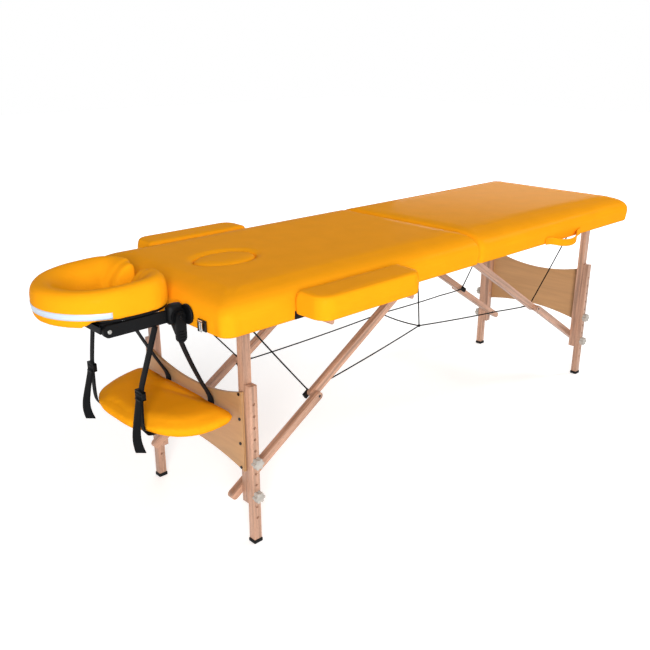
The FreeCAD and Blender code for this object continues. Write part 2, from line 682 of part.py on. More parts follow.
def rubber_foot():
    return box(f"-{HINGE_X} - leg_depth / 2 - foot_margin", f"{POST_OUT} - foot_margin", "0",
               "leg_depth + 2 * foot_margin", "leg_width + 2 * foot_margin", "foot_height")


def screw_heights():
    step = f"(panel_top - panel_bottom - 2 * screw_margin) / {PANEL_SCREWS - 1}"
    return [f"(panel_bottom + screw_margin + {place} * {step})" for place in range(PANEL_SCREWS)]


def end_panel():
    """Plywood between the posts, with its upper and lower edges cut to wide arcs."""
    blank = box(f"-{PANEL_FACE}", f"-{POST_OUT}", "panel_bottom", "panel_thick", f"2 * {POST_OUT}",
                "panel_top - panel_bottom")
    arcs = []
    for sag, edge, side in (("panel_top_dip", "panel_top", 1), ("panel_bottom_rise", "panel_bottom", -1)):
        radius = f"(({POST_OUT} ^ 2 + {sag} ^ 2) / (2 * {sag}))"
        arcs.append(rod("X", f"-{PANEL_FACE} - slip_gap", "0", f"{edge} + {side} * ({radius} - {sag})",
                        radius, "panel_thick + 2 * slip_gap"))
    bores = [rod("X", f"-{PANEL_FACE} - slip_gap", screw_place(), z, "screw_radius + pin_clear",
                 "panel_thick + 2 * slip_gap") for z in screw_heights()]
    return cut(blank, *arcs, both_sides(group(*bores)))


def screw_place():
    return "(post_inner + leg_width / 2)"


def panel_screws():
    screws = []
    for z in screw_heights():
        shank = rod("X", f"-{PANEL_FACE}", screw_place(), z, "screw_radius", "panel_thick")
        head = rod("X", f"-{PANEL_FACE} - screw_head_height", screw_place(), z, "screw_head",
                   "screw_head_height")
        screws.append(fuse(shank, head))
    return both_sides(group(*screws))


def knob(hole):
    """A lobed clamp knob with its moulded stud, on the far leg."""
    z = knob_z(hole)
    face = f"({KNOB_FACE} + slip_gap)"
    parts = [rod("Y", f"-{HINGE_X}", face, z, "knob_radius", "knob_height"),
             rod("Y", f"-{HINGE_X}", "post_inner + layer_gap", z, "stud_radius",
                 f"{face} - post_inner")]
    for lobe in range(KNOB_LOBES):
        turn = f"{360 * lobe / KNOB_LOBES:g} deg"
        parts.append(rod("Y", f"-{HINGE_X} + (knob_radius - layer_gap) * cos({turn})", face,
                         f"{z} + (knob_radius - layer_gap) * sin({turn})", "knob_lobe", "knob_height"))
    return fuse(*parts)


def leg_frames():
    posts = both_sides(leg_post())
    feet = both_sides(rubber_foot())
    panel, screws = end_panel(), panel_screws()
    for name, piece in (("leg_posts", posts), ("rubber_feet", feet), ("end_panel", panel),
                        ("panel_screws", screws)):
        node(f"head_{name}", piece)
        node(f"foot_{name}", head_to_foot(piece))
    sides = [("extension", leg_extension()), ("upper_knob", knob("upper_hole")),
             ("lower_knob", knob("lower_hole"))]
    for name, far in sides:
        near = far_to_near(far)
        node(f"head_far_{name}", far)
        node(f"head_near_{name}", near)
        node(f"foot_far_{name}", head_to_foot(far))
        node(f"foot_near_{name}", head_to_foot(near))


def braces():
    """Both braces of a leg lie on one line when the table stands; the knee is where they meet."""
    lower = bar(f"{LOWER_LENGTH} + brace_tail", ["brace_tail", f"{LOWER_LENGTH} + brace_tail"])
    place_bar(lower, f"-{HINGE_X} - brace_tail * cos({BRACE_SLOPE})", LOWER_IN,
              f"brace_foot - brace_tail * sin({BRACE_SLOPE})", BRACE_SLOPE)
    upper = bar(UPPER_LENGTH, ["0", UPPER_LENGTH])
    place_bar(upper, f"-{KNEE_DISTANCE}", UPPER_IN, KNEE_Z, BRACE_SLOPE)
    bolts = group(rod("Y", f"-{KNEE_DISTANCE}", LOWER_IN, KNEE_Z, "pin_radius", "brace_thick"),
                  rod("Y", f"-{HINGE_X}", LOWER_IN, "brace_foot", "pin_radius",
                      "brace_thick + leg_width"))
    for name, piece in (("lower_braces", lower), ("upper_braces", upper), ("knee_bolts", bolts)):
        pair = both_sides(piece)
        node(f"head_{name}", pair)
        node(f"foot_{name}", head_to_foot(pair))


# Bracing cables, pulled straight between their anchors
def cable(start, end, from_knot=False, to_knot=False):
    """A straight cable, stopped at the surface of a crimp where it meets one."""
    a = V(*(number(text) for text in start))
    b = V(*(number(text) for text in end))
    along = (b - a).normalize() * (number("crimp_radius") + number("slip_gap"))
    a, b = (a + along if from_knot else a), (b - along if to_knot else b)
    return Part.makeCylinder(number("cable_radius"), (b - a).Length, a, b - a)


def cables():
    """Diagonals from the knees to the leg hinges, and lines from the knees to the centre crimps."""
    knee_y = f"{UPPER_IN} - cable_radius - layer_gap"
    high, low = f"{KNEE_Z} + 3 * cable_radius", f"{KNEE_Z} - 3 * cable_radius"
    anchor = (f"-{HINGE_X} - leg_depth", f"{UPPER_OUT} - 2 * cable_radius", f"{RAIL_TOP} - cable_radius")
    knot = ("-seam_gap", "knot_place", "knot_height")
    drop = ("-seam_gap - rail_thick", "knot_place - 2 * cable_radius", "underside - cable_radius")
    crimp = Part.makeSphere(number("crimp_radius"), V(*(number(text) for text in knot)))
    lines = [cable((f"-{KNEE_DISTANCE}", knee_y, high), anchor),
             cable((f"-{KNEE_DISTANCE}", knee_y, low), knot, to_knot=True)]
    side = lines + [cable(knot, drop, from_knot=True), crimp]
    across = cable(("-seam_gap", "-knot_place", "knot_height"), knot, from_knot=True, to_knot=True)
    near = [piece.mirror(V(), V(0, 1, 0)) for piece in side]
    foot = [piece.mirror(V(), V(1, 0, 0)) for piece in lines + near[:len(lines)]]
    node("head_cables", free_shape(Part.makeCompound(side + near + [across])))
    node("foot_cables", free_shape(Part.makeCompound(foot)))


# Carry handle: a band sewn down at both ends, standing off the side between them
def carry_handle():
    y = -number(f"{HALF} + slip_gap")
    middle, half = number("handle_distance"), number("handle_length / 2")
    foot, bow, thick = number("handle_foot"), number("handle_bow"), number("handle_thick")
    z = number("underside - handle_drop")
    points = [(middle - half, y), (middle, y - bow, "arc"), (middle + half, y), (middle + half - foot, y),
              (middle, y - bow + thick, "arc"), (middle - half + foot, y)]
    band = Part.Face(outline(points, z)).extrude(V(0, 0, number("handle_band")))
    node("foot_handle", free_shape(band))


# Latches that hold the folded table shut
def latches():
    base = box(f"-{LATCH_FACE} - latch_thick", "latch_place - latch_width / 2", LATCH_Z, "latch_thick",
               "latch_width", "latch_height")
    lug_gap = "(hasp_width / 2 + knuckle_gap)"
    parts = [base]
    for side in (1, -1):
        edge = f"latch_place + {side} * {lug_gap}"
        parts.append(box(f"-{HASP_X} - hasp_pin", edge if side > 0 else f"{edge} - latch_thick",
                         f"{HASP_Z} - hasp_pin", f"{HASP_X} - {LATCH_FACE} + hasp_pin - latch_thick / 2",
                         "latch_thick", "2 * hasp_pin"))
    parts.append(rod("Y", f"-{HASP_X}", f"latch_place - {lug_gap}", HASP_Z, "hasp_pin", f"2 * {lug_gap}"))
    node("latch_bases", both_sides(fuse(*parts)))
    knuckle = rod("Y", f"-{HASP_X}", "latch_place - hasp_width / 2", HASP_Z, "hasp_knuckle", "hasp_width")
    plate = box(f"-{HASP_X} - hasp_knuckle", "latch_place - hasp_width / 2", LATCH_Z, "hasp_thick",
                "hasp_width", f"{HASP_Z} - {LATCH_Z}")
    bore = rod("Y", f"-{HASP_X}", "latch_place - hasp_width", HASP_Z, "hasp_pin + pin_clear", "2 * hasp_width")
    far = node("far_latch_hasp", cut(fuse(knuckle, plate), bore))
    node("near_latch_hasp", far_to_near(far))
    hook = box(f"-{HASP_X}", "latch_place - hasp_width / 2", LATCH_Z, f"{HASP_X} - {LATCH_FACE}",
               "hasp_width", "hasp_thick")
    node("latch_catches", head_to_foot(both_sides(fuse(base, hook))))


# Face cradle
def face_outline(inset):
    """The horseshoe seen from above, open towards the table."""
    half, hole = number("face_half_width") - inset, number("face_hole_half") + inset
    turn_x = number(f"face_half_width - {FACE_FRONT}")
    back, hole_back = -number(FACE_BACK) - inset, inset - number(FACE_HOLE_BACK)
    mouth, corner = number("face_mouth") + inset, number("face_corner")
    centre_x, centre_y = -number(FACE_BACK) - corner, number("face_half_width") - corner
    round_corner = corner - inset
    return [(back, mouth), (back, centre_y), arc_middle(centre_x, centre_y, round_corner, 45),
            (centre_x, half), (turn_x, half), arc_middle(turn_x, 0, half, 135), (turn_x - half, 0),
            arc_middle(turn_x, 0, half, 225), (turn_x, -half), (centre_x, -half),
            arc_middle(centre_x, -centre_y, round_corner, -45), (back, -centre_y), (back, -mouth),
            (hole_back, -mouth), (hole_back, -hole), (turn_x, -hole), arc_middle(turn_x, 0, hole, 225),
            (turn_x - hole, 0), arc_middle(turn_x, 0, hole, 135), (turn_x, hole), (hole_back, hole),
            (hole_back, mouth)]


def face_cushion():
    run, bottom = number("face_run"), number(CUSHION_Z)
    shape = crowned(lambda share, inset: face_outline(run * share + inset), bottom,
                    bottom + number("face_widest"), bottom + number("face_thick"), number("face_draw"))
    node("face_cushion", free_shape(shape))


def cradle_frame():
    arm_y = "(peg_place - arm_thick)"
    reach = f"({TILT_X} - {HOUSING_X})"
    arm = box(f"-{TILT_X}", arm_y, ARM_BOTTOM, reach, "arm_thick", "arm_height")
    nose = rod("Y", f"-{TILT_X}", arm_y, PEG_Z, "arm_height / 2", "arm_thick")
    housing = rod("Y", f"-{HOUSING_X}", "peg_place - housing_width / 2", PEG_Z, "housing_radius",
                  "housing_width")
    peg = rod("X", f"-{HOUSING_X}", "peg_place", PEG_Z, "peg_radius",
              f"{HOUSING_X} - section_length + peg_length")
    tube = rod("Y", f"-{TILT_X}", f"-{arm_y}", PEG_Z, "tilt_radius", f"2 * {arm_y}")
    side = fuse(arm, nose, housing, peg)
    axle = rod("Y", f"-{HOUSING_X}", "-peg_place - housing_width / 2 - lever_thick - slip_gap", PEG_Z,
               "pin_radius", "lever_thick + housing_width")
    node("cradle_frame", fuse(side, far_to_near(side), tube, axle))


def cradle_platform():
    plate = Part.Face(outline(face_outline(number("platform_inset")), number(PLATFORM_Z)))
    shape = plate.extrude(V(0, 0, number("platform_thick")))
    lugs = []
    for side in (1, -1):
        start = f"{side} * tilt_lug_place - tilt_lug / 2"
        ring = rod("Y", f"-{TILT_X}", start, PEG_Z, "tilt_lug_radius", "tilt_lug")
        stem = box(f"-{TILT_X} - tilt_lug_radius", start, PEG_Z, "2 * tilt_lug_radius", "tilt_lug",
                   f"{PLATFORM_Z} - {PEG_Z} + platform_thick / 2")
        lugs += [ring, stem]
    bore = rod("Y", f"-{TILT_X}", "-peg_place", PEG_Z, "tilt_radius + pin_clear", "2 * peg_place")
    node("cradle_platform", cut(fuse(free_shape(shape), *lugs), bore))


def cam_lever():
    """The clamp lever hanging on the outside of the near housing."""
    y = "-peg_place - housing_width / 2 - lever_thick - slip_gap"
    eye = rod("Y", f"-{HOUSING_X}", y, PEG_Z, "lever_width / 2", "lever_thick")
    low = f"{PEG_Z} - lever_length"
    tip = rod("Y", f"-{HOUSING_X}", y, f"{low} + lever_width / 2", "lever_width / 2", "lever_thick")
    stem = box(f"-{HOUSING_X} - lever_width / 2", y, f"{low} + lever_width / 2", "lever_width",
               "lever_thick", "lever_length - lever_width / 2")
    bore = rod("Y", f"-{HOUSING_X}", f"{y} - slip_gap", PEG_Z, "pin_radius + pin_clear",
               "lever_thick + 2 * slip_gap")
    node("cam_lever", cut(fuse(eye, tip, stem), bore))


# Arm sling
def sling_outline(inset):
    """Straight along the back, curved along the front."""
    half = number("sling_half_width") - inset
    back, front = -number(SLING_BACK) - inset, inset - number(SLING_FRONT)
    corner = number("sling_corner")
    chord, depth = half, back - corner - front
    radius = (chord ** 2 + depth ** 2) / (2 * depth)
    middle_x = front + radius
    turn = math.degrees(math.atan2(chord, back - corner - middle_x))
    spread = (180 + turn) / 2 if turn > 0 else turn
    return [(back, half - corner), arc_middle(back - corner, half - corner, corner, 45),
            (back - corner, half), arc_middle(middle_x, 0, radius, spread), (front, 0),
            arc_middle(middle_x, 0, radius, -spread), (back - corner, -half),
            arc_middle(back - corner, corner - half, corner, -45), (back, corner - half)]


def sling_pad():
    run, bottom = number("sling_run"), number("sling_bottom")
    shape = crowned(lambda share, inset: sling_outline(run * share + inset), bottom,
                    bottom + number("sling_widest"), number(SLING_TOP), number("sling_draw"))
    node("sling_pad", free_shape(shape))


def webbing(points):
    """A flat strap through points from the top down, level across and square to X."""
    wide, thick = number("strap_width") / 2, number("strap_thick") / 2
    wires = []
    for x, y, z in points:
        corners = [(x - thick, y - wide), (x + thick, y - wide), (x + thick, y + wide), (x - thick, y + wide)]
        wires.append(outline(corners, z))
    return Part.makeLoft(wires, True, True)


def sling_straps():
    low_z = number(SLING_TOP) + number("slip_gap")
    low_y, inset = number("strap_low_place"), number("strap_inset")
    back_top = (-number(HOUSING_X), number("strap_back_place"),
                number(f"{PEG_Z} - housing_radius - slip_gap"))
    back = webbing([back_top, (-number(SLING_BACK) - inset - number("sling_run"), low_y, low_z)])
    buckle = (-number(BUCKLE_X), number("buckle_place"), number("buckle_height"))
    rise = number("buckle_tall / 2")
    arm_y = number("peg_place - arm_thick / 2")
    top = (-number(STRAP_TOP), arm_y, number(ARM_BOTTOM) - number("slip_gap"))
    above, below = (buckle[0], buckle[1], buckle[2] + rise), (buckle[0], buckle[1], buckle[2] - rise)
    front_low = (-number(SLING_FRONT) + inset + number("sling_run"), low_y, low_z)
    tail_top = (below[0] - number("2 * strap_thick"), below[1], below[2])
    tail_low = (tail_top[0] - number("tail_lean"), tail_top[1], below[2] - number("tail_length"))
    straps = [back, webbing([top, above]), webbing([below, front_low]), webbing([tail_top, tail_low])]
    straps += [strap.mirror(V(), V(0, 1, 0)) for strap in straps]
    node("sling_straps", free_shape(Part.makeCompound(straps)))
    node("strap_buckles", both_sides(box(f"-{BUCKLE_X} - buckle_thick / 2 - strap_thick",
                                         "buckle_place - buckle_width / 2", "buckle_height - buckle_tall / 2",
                                         "buckle_thick + strap_thick", "buckle_width", "buckle_tall")))


# Armrests
def armrest_outline(inset):
    """One armrest on the far side, with its larger corners away from the table."""
    x0, y0 = -number(ARMREST_X), number(ARMREST_Y)
    x1, y1 = x0 + number("armrest_length"), y0 + number("armrest_width")
    inner, outer = number("armrest_inner_corner"), number("armrest_corner")
    return rounded_box(x0 + inset, x1 - inset, y0 + inset, y1 - inset, (inner, outer), (inner, outer))


def armrests():
    run, bottom = number("armrest_run"), number(ARMREST_PAD_Z)
    pad_shape = crowned(lambda share, inset: armrest_outline(run * share + inset), bottom,
                        bottom + number("armrest_widest"), bottom + number("armrest_pad"),
                        number("armrest_draw"))
    far_pad = node("far_armrest_pad", free_shape(pad_shape))
    node("near_armrest_pad", far_to_near(far_pad))
    board = Part.Face(outline(armrest_outline(number("armrest_board_inset")), number("armrest_bottom")))
    pieces = [free_shape(board.extrude(V(0, 0, number("armrest_board"))))]
    reach = "armrest_width - armrest_board_inset + slip_gap + armrest_peg_depth"
    for along in armrest_pegs():
        pieces.append(rod("Y", f"-{ARMREST_X} + {along}", f"{HALF} - armrest_peg_depth", ARMREST_PEG_Z,
                          "armrest_peg", reach))
        pieces.append(box(f"-{ARMREST_X} + {along} - armrest_peg", f"{ARMREST_Y} + armrest_board_inset",
                          ARMREST_PEG_Z, "2 * armrest_peg", "armrest_width - 2 * armrest_board_inset",
                          "armrest_peg + armrest_board / 2"))
    far_base = node("far_armrest_base", fuse(*pieces))
    node("near_armrest_base", far_to_near(far_base))


def write_parts():
    """Check every object, then write each piece to its own file."""
    doc.recompute()
    broken = [item.Label for item in doc.Objects if {"Invalid", "Error"} & set(item.State)]
    broken += [name for name, item in NODES.items() if item.Shape.isNull() or not item.Shape.isValid()]
    if broken:
        raise RuntimeError("these pieces failed: " + ", ".join(broken))
    os.makedirs("parts", exist_ok=True)
    for name, item in NODES.items():
        item.Shape.exportStep(f"parts/{name}.step")


frame_rails()
deck()
socket_bushes()
pads()
face_plug()
pivot_brackets()
seam_hinges()
leg_frames()
braces()
cables()
carry_handle()
latches()
cradle_frame()
face_cushion()
cradle_platform()
cam_lever()
sling_pad()
sling_straps()
armrests()
write_parts()
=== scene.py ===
"""Looks of a folding massage table with a face cradle, an arm sling and two armrests."""
import json
import math

import bmesh
import bpy
from mathutils import Matrix, Vector


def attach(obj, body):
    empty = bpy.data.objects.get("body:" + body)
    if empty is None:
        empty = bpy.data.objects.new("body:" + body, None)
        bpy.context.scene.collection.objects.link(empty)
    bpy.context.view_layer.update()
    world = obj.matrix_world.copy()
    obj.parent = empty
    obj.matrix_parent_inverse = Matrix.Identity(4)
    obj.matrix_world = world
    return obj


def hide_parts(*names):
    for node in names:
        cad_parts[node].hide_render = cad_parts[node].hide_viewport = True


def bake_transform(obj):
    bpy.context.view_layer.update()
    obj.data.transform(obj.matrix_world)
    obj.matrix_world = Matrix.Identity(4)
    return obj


bl_info = {
    "name": "Folding massage table",
    "version": (1, 0, 0),
    "blender": (4, 5, 0),
    "location": "View3D > Sidebar > Massage table",
    "description": "Upholstery, cables, hardware and finishes on the table's construction model",
    "category": "Object",
}

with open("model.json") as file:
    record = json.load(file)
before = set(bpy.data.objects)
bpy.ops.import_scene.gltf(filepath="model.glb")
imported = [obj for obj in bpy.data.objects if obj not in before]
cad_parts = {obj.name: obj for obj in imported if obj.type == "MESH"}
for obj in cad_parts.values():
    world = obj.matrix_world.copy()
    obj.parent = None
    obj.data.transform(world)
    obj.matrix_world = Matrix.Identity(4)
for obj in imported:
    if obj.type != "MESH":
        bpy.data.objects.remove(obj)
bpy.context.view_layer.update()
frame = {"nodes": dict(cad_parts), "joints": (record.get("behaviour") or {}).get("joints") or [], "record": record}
NODES = frame["nodes"]
JOINTS = {joint["name"]: joint for joint in frame["joints"]}
SEAM_X = JOINTS["table_fold"]["pos_m"][0]
MM = 0.001
BRACE_SLOPE = math.radians(32.25)
PAD_HALF = 308
PAD_WIDEST = 645
STUFFING_FRAMES = 20
ENDS = {"head": -1, "foot": 1}
SIDES = {"near": -1, "far": 1}


def at(x, y, z):
    """A place in millimetres, x counted from the seam, as a point in metres."""
    return Vector((SEAM_X + x * MM, y * MM, z * MM))


def linear(code):
    """An sRGB hex colour as the linear values that shaders take."""
    parts = [int(code[place:place + 2], 16) / 255 for place in (1, 3, 5)]
    return [part / 12.92 if part <= 0.04045 else ((part + 0.055) / 1.055) ** 2.4 for part in parts] + [1.0]


def colour_setting(name, description, code):
    return bpy.props.FloatVectorProperty(name=name, description=description, subtype="COLOR", size=4,
                                         min=0, max=1, default=linear(code))


def length_setting(name, description, size, least):
    """A length in millimetres and the least that it may be."""
    return bpy.props.FloatProperty(name=name, description=description, unit="LENGTH", default=size * MM,
                                   min=least * MM)


# Sizes and colours that a user would change
class MassageTableSettings(bpy.types.PropertyGroup):
    """Colours and soft sizes of the massage table"""
    vinyl: colour_setting("Vinyl", "Colour of the upholstery", "#FAA216")
    beech: colour_setting("Beech", "Light colour of the legs and braces", "#BE937A")
    plywood: colour_setting("Plywood", "Light colour of the end panels", "#BC8F60")
    strip: colour_setting("Strip", "Colour of the strip round the face cushion", "#C8D4E4")
    pad_voxel: length_setting("Table pad mesh", "Mesh size of the table pads before they are stuffed", 6, 4)
    cushion_voxel: length_setting("Cushion mesh", "Mesh size of the cushions before they are stuffed", 5, 3)
    swell: length_setting("Swell", "How far the stuffing may push a cover out", 4, 0)
    cable_diameter: length_setting("Cable", "Diameter of the bracing cables", 4.2, 1)
    strap_width: length_setting("Strap", "Width of the sling's webbing", 25, 5)


def settings():
    return bpy.context.scene.massage_table


# Shader building
def add_node(tree, kind, values=None, *sources, **links):
    """Add a shader node, set its fields, sockets and ramp stops, and link its inputs, in order or by name,
    where _ stands for a space."""
    node = tree.nodes.new(kind)
    for name, value in (values or {}).items():
        if name == "stops":
            while len(node.color_ramp.elements) < len(value):
                node.color_ramp.elements.new(0.5)
            for element, (element_place, colour) in zip(node.color_ramp.elements, value):
                element.position, element.color = element_place, colour
        elif name in node.inputs:
            node.inputs[name].default_value = value
        else:
            setattr(node, name, value)
    for place, source in enumerate(sources):
        tree.links.new(source, node.inputs[place])
    for name, source in links.items():
        tree.links.new(source, node.inputs[name.replace("_", " ")])
    return node


def start_material(name, **shader):
    """A new material, its tree and its surface shader with plain values set; no tree if it is there already."""
    made = bpy.data.materials.get(name)
    if made:
        return made, None, None
    made = bpy.data.materials.new(name)
    made.use_nodes = True
    surface = made.node_tree.nodes["Principled BSDF"]
    for socket, value in shader.items():
        surface.inputs[socket.replace("_", " ")].default_value = value
    return made, made.node_tree, surface


def shades(colour, *stops):
    """Ramp stops from pairs of a place and a factor on a colour."""
    return [(place, [min(1.0, part * factor) for part in colour[:3]] + [1.0]) for place, factor in stops]


def pattern(tree, kind, values, along, across=None, turn=(0, 0, 0)):
    """The value of a texture with features of a size in millimetres along and across a grain direction."""
    across = across or along
    place = add_node(tree, "ShaderNodeTexCoord")
    grain = add_node(tree, "ShaderNodeMapping", {"vector_type": "TEXTURE", "Rotation": turn,
                                                 "Scale": [size * MM for size in (along, across, across)]},
                     Vector=place.outputs["Object"])
    made = add_node(tree, "ShaderNodeTex" + kind, {"Scale": 1.0, **values}, Vector=grain.outputs["Vector"])
    return made.outputs["Distance" if kind == "Voronoi" else "Fac"]


def wave_unit(period):
    """The unit in which a wave texture has bands of a period, both in millimetres, at 20 radians a unit."""
    return period * 20 / (2 * math.pi)


def lay_on(tree, surface, base, gloss=None, relief=None):
    """Link a surface to the node of its colour, to its roughness as a pattern, its least and its most, and to
    its relief as a height, a strength and a depth in millimetres."""
    tree.links.new(base.outputs["Color"], surface.inputs["Base Color"])
    if gloss:
        source, low, high = gloss
        span = add_node(tree, "ShaderNodeMapRange", {"To Min": low, "To Max": high}, Value=source)
        tree.links.new(span.outputs["Result"], surface.inputs["Roughness"])
    if relief:
        height, strength, depth = relief
        bump = add_node(tree, "ShaderNodeBump", {"Strength": strength, "Distance": depth * MM}, Height=height)
        tree.links.new(bump.outputs["Normal"], surface.inputs["Normal"])


def vinyl():
    """Embossed PVC leathercloth: a soft sheen with a fine pebble and slightly uneven gloss."""
    # the pebble shades itself at low angles, so all that is left of the gloss is a weak film
    made, tree, surface = start_material("Embossed PVC leathercloth", IOR=1.52, Specular_IOR_Level=0.0,
                                         Coat_Weight=0.12, Coat_IOR=1.1, Coat_Roughness=0.15)
    if tree:
        # the real pebble is about 0.8 mm; 2.4 mm is as fine as the render shows
        pebble = pattern(tree, "Voronoi", {"feature": "SMOOTH_F1", "Smoothness": 0.6}, along=2.4)
        mottle = pattern(tree, "Noise", {"Detail": 3.0}, along=70)
        stops = shades(settings().vinyl, (0.3, 0.97), (0.7, 1.02))
        base = add_node(tree, "ShaderNodeValToRGB", {"stops": stops}, Fac=mottle)
        lay_on(tree, surface, base, gloss=(mottle, 0.44, 0.56), relief=(pebble, 0.25, 0.15))
    return made


def beech(name, turn=(0, 0, 0)):
    """Steamed beech under clear lacquer: pinkish, faint streaks along the piece and short dark flecks."""
    made, tree, surface = start_material("Lacquered steamed beech " + name, IOR=1.5, Coat_Weight=0.15,
                                         Coat_Roughness=0.25)
    if tree:
        streak = pattern(tree, "Noise", {"Detail": 4.0, "Distortion": 0.4}, along=240, across=10, turn=turn)
        # flecks are 2 mm long on beech, drawn at 9 mm so that they show
        fleck = pattern(tree, "Noise", {"Detail": 1.0}, along=9, across=1.6, turn=turn)
        stops = shades(settings().beech, (0.34, 0.58), (0.5, 0.92), (0.66, 1.16))
        plain = add_node(tree, "ShaderNodeValToRGB", {"stops": stops}, Fac=streak)
        stops = [(0.3, (0.62, 0.55, 0.5, 1)), (0.42, (1, 1, 1, 1))]
        dots = add_node(tree, "ShaderNodeValToRGB", {"stops": stops}, Fac=fleck)
        base = add_node(tree, "ShaderNodeMixRGB", {"blend_type": "MULTIPLY", "Fac": 0.6},
                        Color1=plain.outputs["Color"], Color2=dots.outputs["Color"])
        lay_on(tree, surface, base, gloss=(streak, 0.38, 0.52), relief=(fleck, 0.2, 0.1))
    return made


def plywood(name, thin_axis):
    """Birch plywood: a calm rotary-cut veneer on its faces, thin light and dark layers on its edges."""
    made, tree, surface = start_material("Rotary-cut birch plywood " + name, IOR=1.5, Roughness=0.5,
                                         Coat_Weight=0.1, Coat_Roughness=0.3)
    if tree:
        colour = settings().plywood
        figure = pattern(tree, "Noise", {"Detail": 5.0, "Distortion": 1.2}, along=260, across=22,
                         turn=(0, 0, math.radians(90)))
        # layers are about 1.5 mm, drawn at 2.4 mm so that they show
        layers = pattern(tree, "Wave", {"bands_direction": thin_axis, "Distortion": 0.3}, wave_unit(4.8))
        stops = shades(colour, (0.32, 0.88), (0.5, 0.96), (0.7, 1.03))
        face = add_node(tree, "ShaderNodeValToRGB", {"stops": stops}, Fac=figure)
        stops = shades(colour, (0.35, 0.55), (0.65, 1.0))
        edge = add_node(tree, "ShaderNodeValToRGB", {"stops": stops}, Fac=layers)
        place = add_node(tree, "ShaderNodeTexCoord")
        facing = add_node(tree, "ShaderNodeSeparateXYZ", Vector=place.outputs["Normal"])
        square = add_node(tree, "ShaderNodeMath", {"operation": "ABSOLUTE"}, facing.outputs[thin_axis])
        base = add_node(tree, "ShaderNodeMixRGB", None, square.outputs["Value"], edge.outputs["Color"],
                        face.outputs["Color"])
        lay_on(tree, surface, base, relief=(figure, 0.12, 0.1))
    return made


def moulded(name, code, rough, grit, gloss_level=0.3):
    """Moulded plastic or rubber: a fine spark-eroded texture that breaks up the highlight."""
    made, tree, surface = start_material(name, IOR=1.5, Specular_IOR_Level=gloss_level)
    if tree:
        speck = pattern(tree, "Noise", {"Detail": 3.0}, along=grit)
        wear = pattern(tree, "Noise", {"Detail": 2.0}, along=25)
        stops = shades(linear(code), (0.35, 0.85), (0.7, 1.2))
        base = add_node(tree, "ShaderNodeValToRGB", {"stops": stops}, Fac=wear)
        lay_on(tree, surface, base, gloss=(speck, rough - 0.08, rough + 0.1), relief=(speck, 0.2, 0.08))
    return made


def metal(name, code, rough, length):
    """Drawn or plated metal: bright, with faint lines along the way it was worked."""
    made, tree, surface = start_material(name, Metallic=1.0)
    if tree:
        lines = pattern(tree, "Noise", {"Detail": 3.0}, along=length, across=0.8)
        stops = shades(linear(code), (0.3, 0.85), (0.7, 1.05))
        base = add_node(tree, "ShaderNodeValToRGB", {"stops": stops}, Fac=lines)
        lay_on(tree, surface, base, gloss=(lines, rough - 0.05, rough + 0.08))
    return made


def webbing_material():
    """Woven polypropylene webbing: black, with a ribbed weave along the strap."""
    made, tree, surface = start_material("Woven polypropylene webbing", IOR=1.49, Sheen_Weight=0.02,
                                         Roughness=0.75, Specular_IOR_Level=0.1)
    if tree:
        own = add_node(tree, "ShaderNodeUVMap", {"uv_map": "weave"})
        # threads are about 1.2 mm, drawn at 6 mm so that they show; a diagonal wave runs half as fast
        threads = add_node(tree, "ShaderNodeTexWave", {"bands_direction": "DIAGONAL", "Distortion": 0.0,
                                                       "Scale": 2 / (wave_unit(6.0) * MM)},
                           Vector=own.outputs["UV"]).outputs["Fac"]
        stops = [(0.2, linear("#030304")), (0.8, linear("#0C0D10"))]
        base = add_node(tree, "ShaderNodeValToRGB", {"stops": stops}, Fac=threads)
        lay_on(tree, surface, base, relief=(threads, 0.5, 0.3))
    return made


def strip_material():
    """Reflective woven tape: pale grey-blue, a little shiny, with a fine cross rib."""
    made, tree, surface = start_material("Woven reflective tape", IOR=1.5, Roughness=0.35, Metallic=0.15)
    if tree:
        # ribs are about 2 mm, drawn at 5 mm so that they show
        ribs = pattern(tree, "Wave", {"bands_direction": "Z", "Distortion": 0.5}, wave_unit(5.0))
        stops = shades(settings().strip, (0.2, 0.92), (0.8, 1.0))
        base = add_node(tree, "ShaderNodeValToRGB", {"stops": stops}, Fac=ribs)
        lay_on(tree, surface, base, relief=(ribs, 0.2, 0.1))
    return made


def black_plastic():
    return moulded("Injection-moulded glass-filled nylon", "#050608", rough=0.5, grit=1.5, gloss_level=0.14)


def zinc():
    return metal("Pressed and zinc-plated steel", "#A9A9A6", rough=0.4, length=12)


def chrome():
    return metal("Polished chromed steel", "#DADADA", rough=0.12, length=30)


def black_steel():
    return metal("Turned and blackened steel", "#3A3A3C", rough=0.4, length=6)


def dress(obj, *materials):
    obj.data.materials.clear()
    for made in materials:
        obj.data.materials.append(made)
    return obj


def mount(obj, body, slot, *nodes):
    """Tie a piece to its body and let it stand for nodes of the construction; its material slot is not used."""
    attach(obj, body)
    if nodes:
        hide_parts(*nodes)


# Mesh building
def object_from(bm, name):
    """Turn a bmesh into an object at the origin."""
    mesh = bpy.data.meshes.new(name)
    bm.to_mesh(mesh)
    bm.free()
    return show(mesh, name)


def show(mesh, name):
    obj = bpy.data.objects.new(name, mesh)
    bpy.context.scene.collection.objects.link(obj)
    return obj


def smooth(obj):
    obj.data.shade_smooth()
    return obj


def finished_mesh(obj):
    """The object's mesh with its modifiers in it."""
    graph = bpy.context.evaluated_depsgraph_get()
    return bpy.data.meshes.new_from_object(obj.evaluated_get(graph))


def drop(*objects):
    for obj in objects:
        bpy.data.objects.remove(obj)


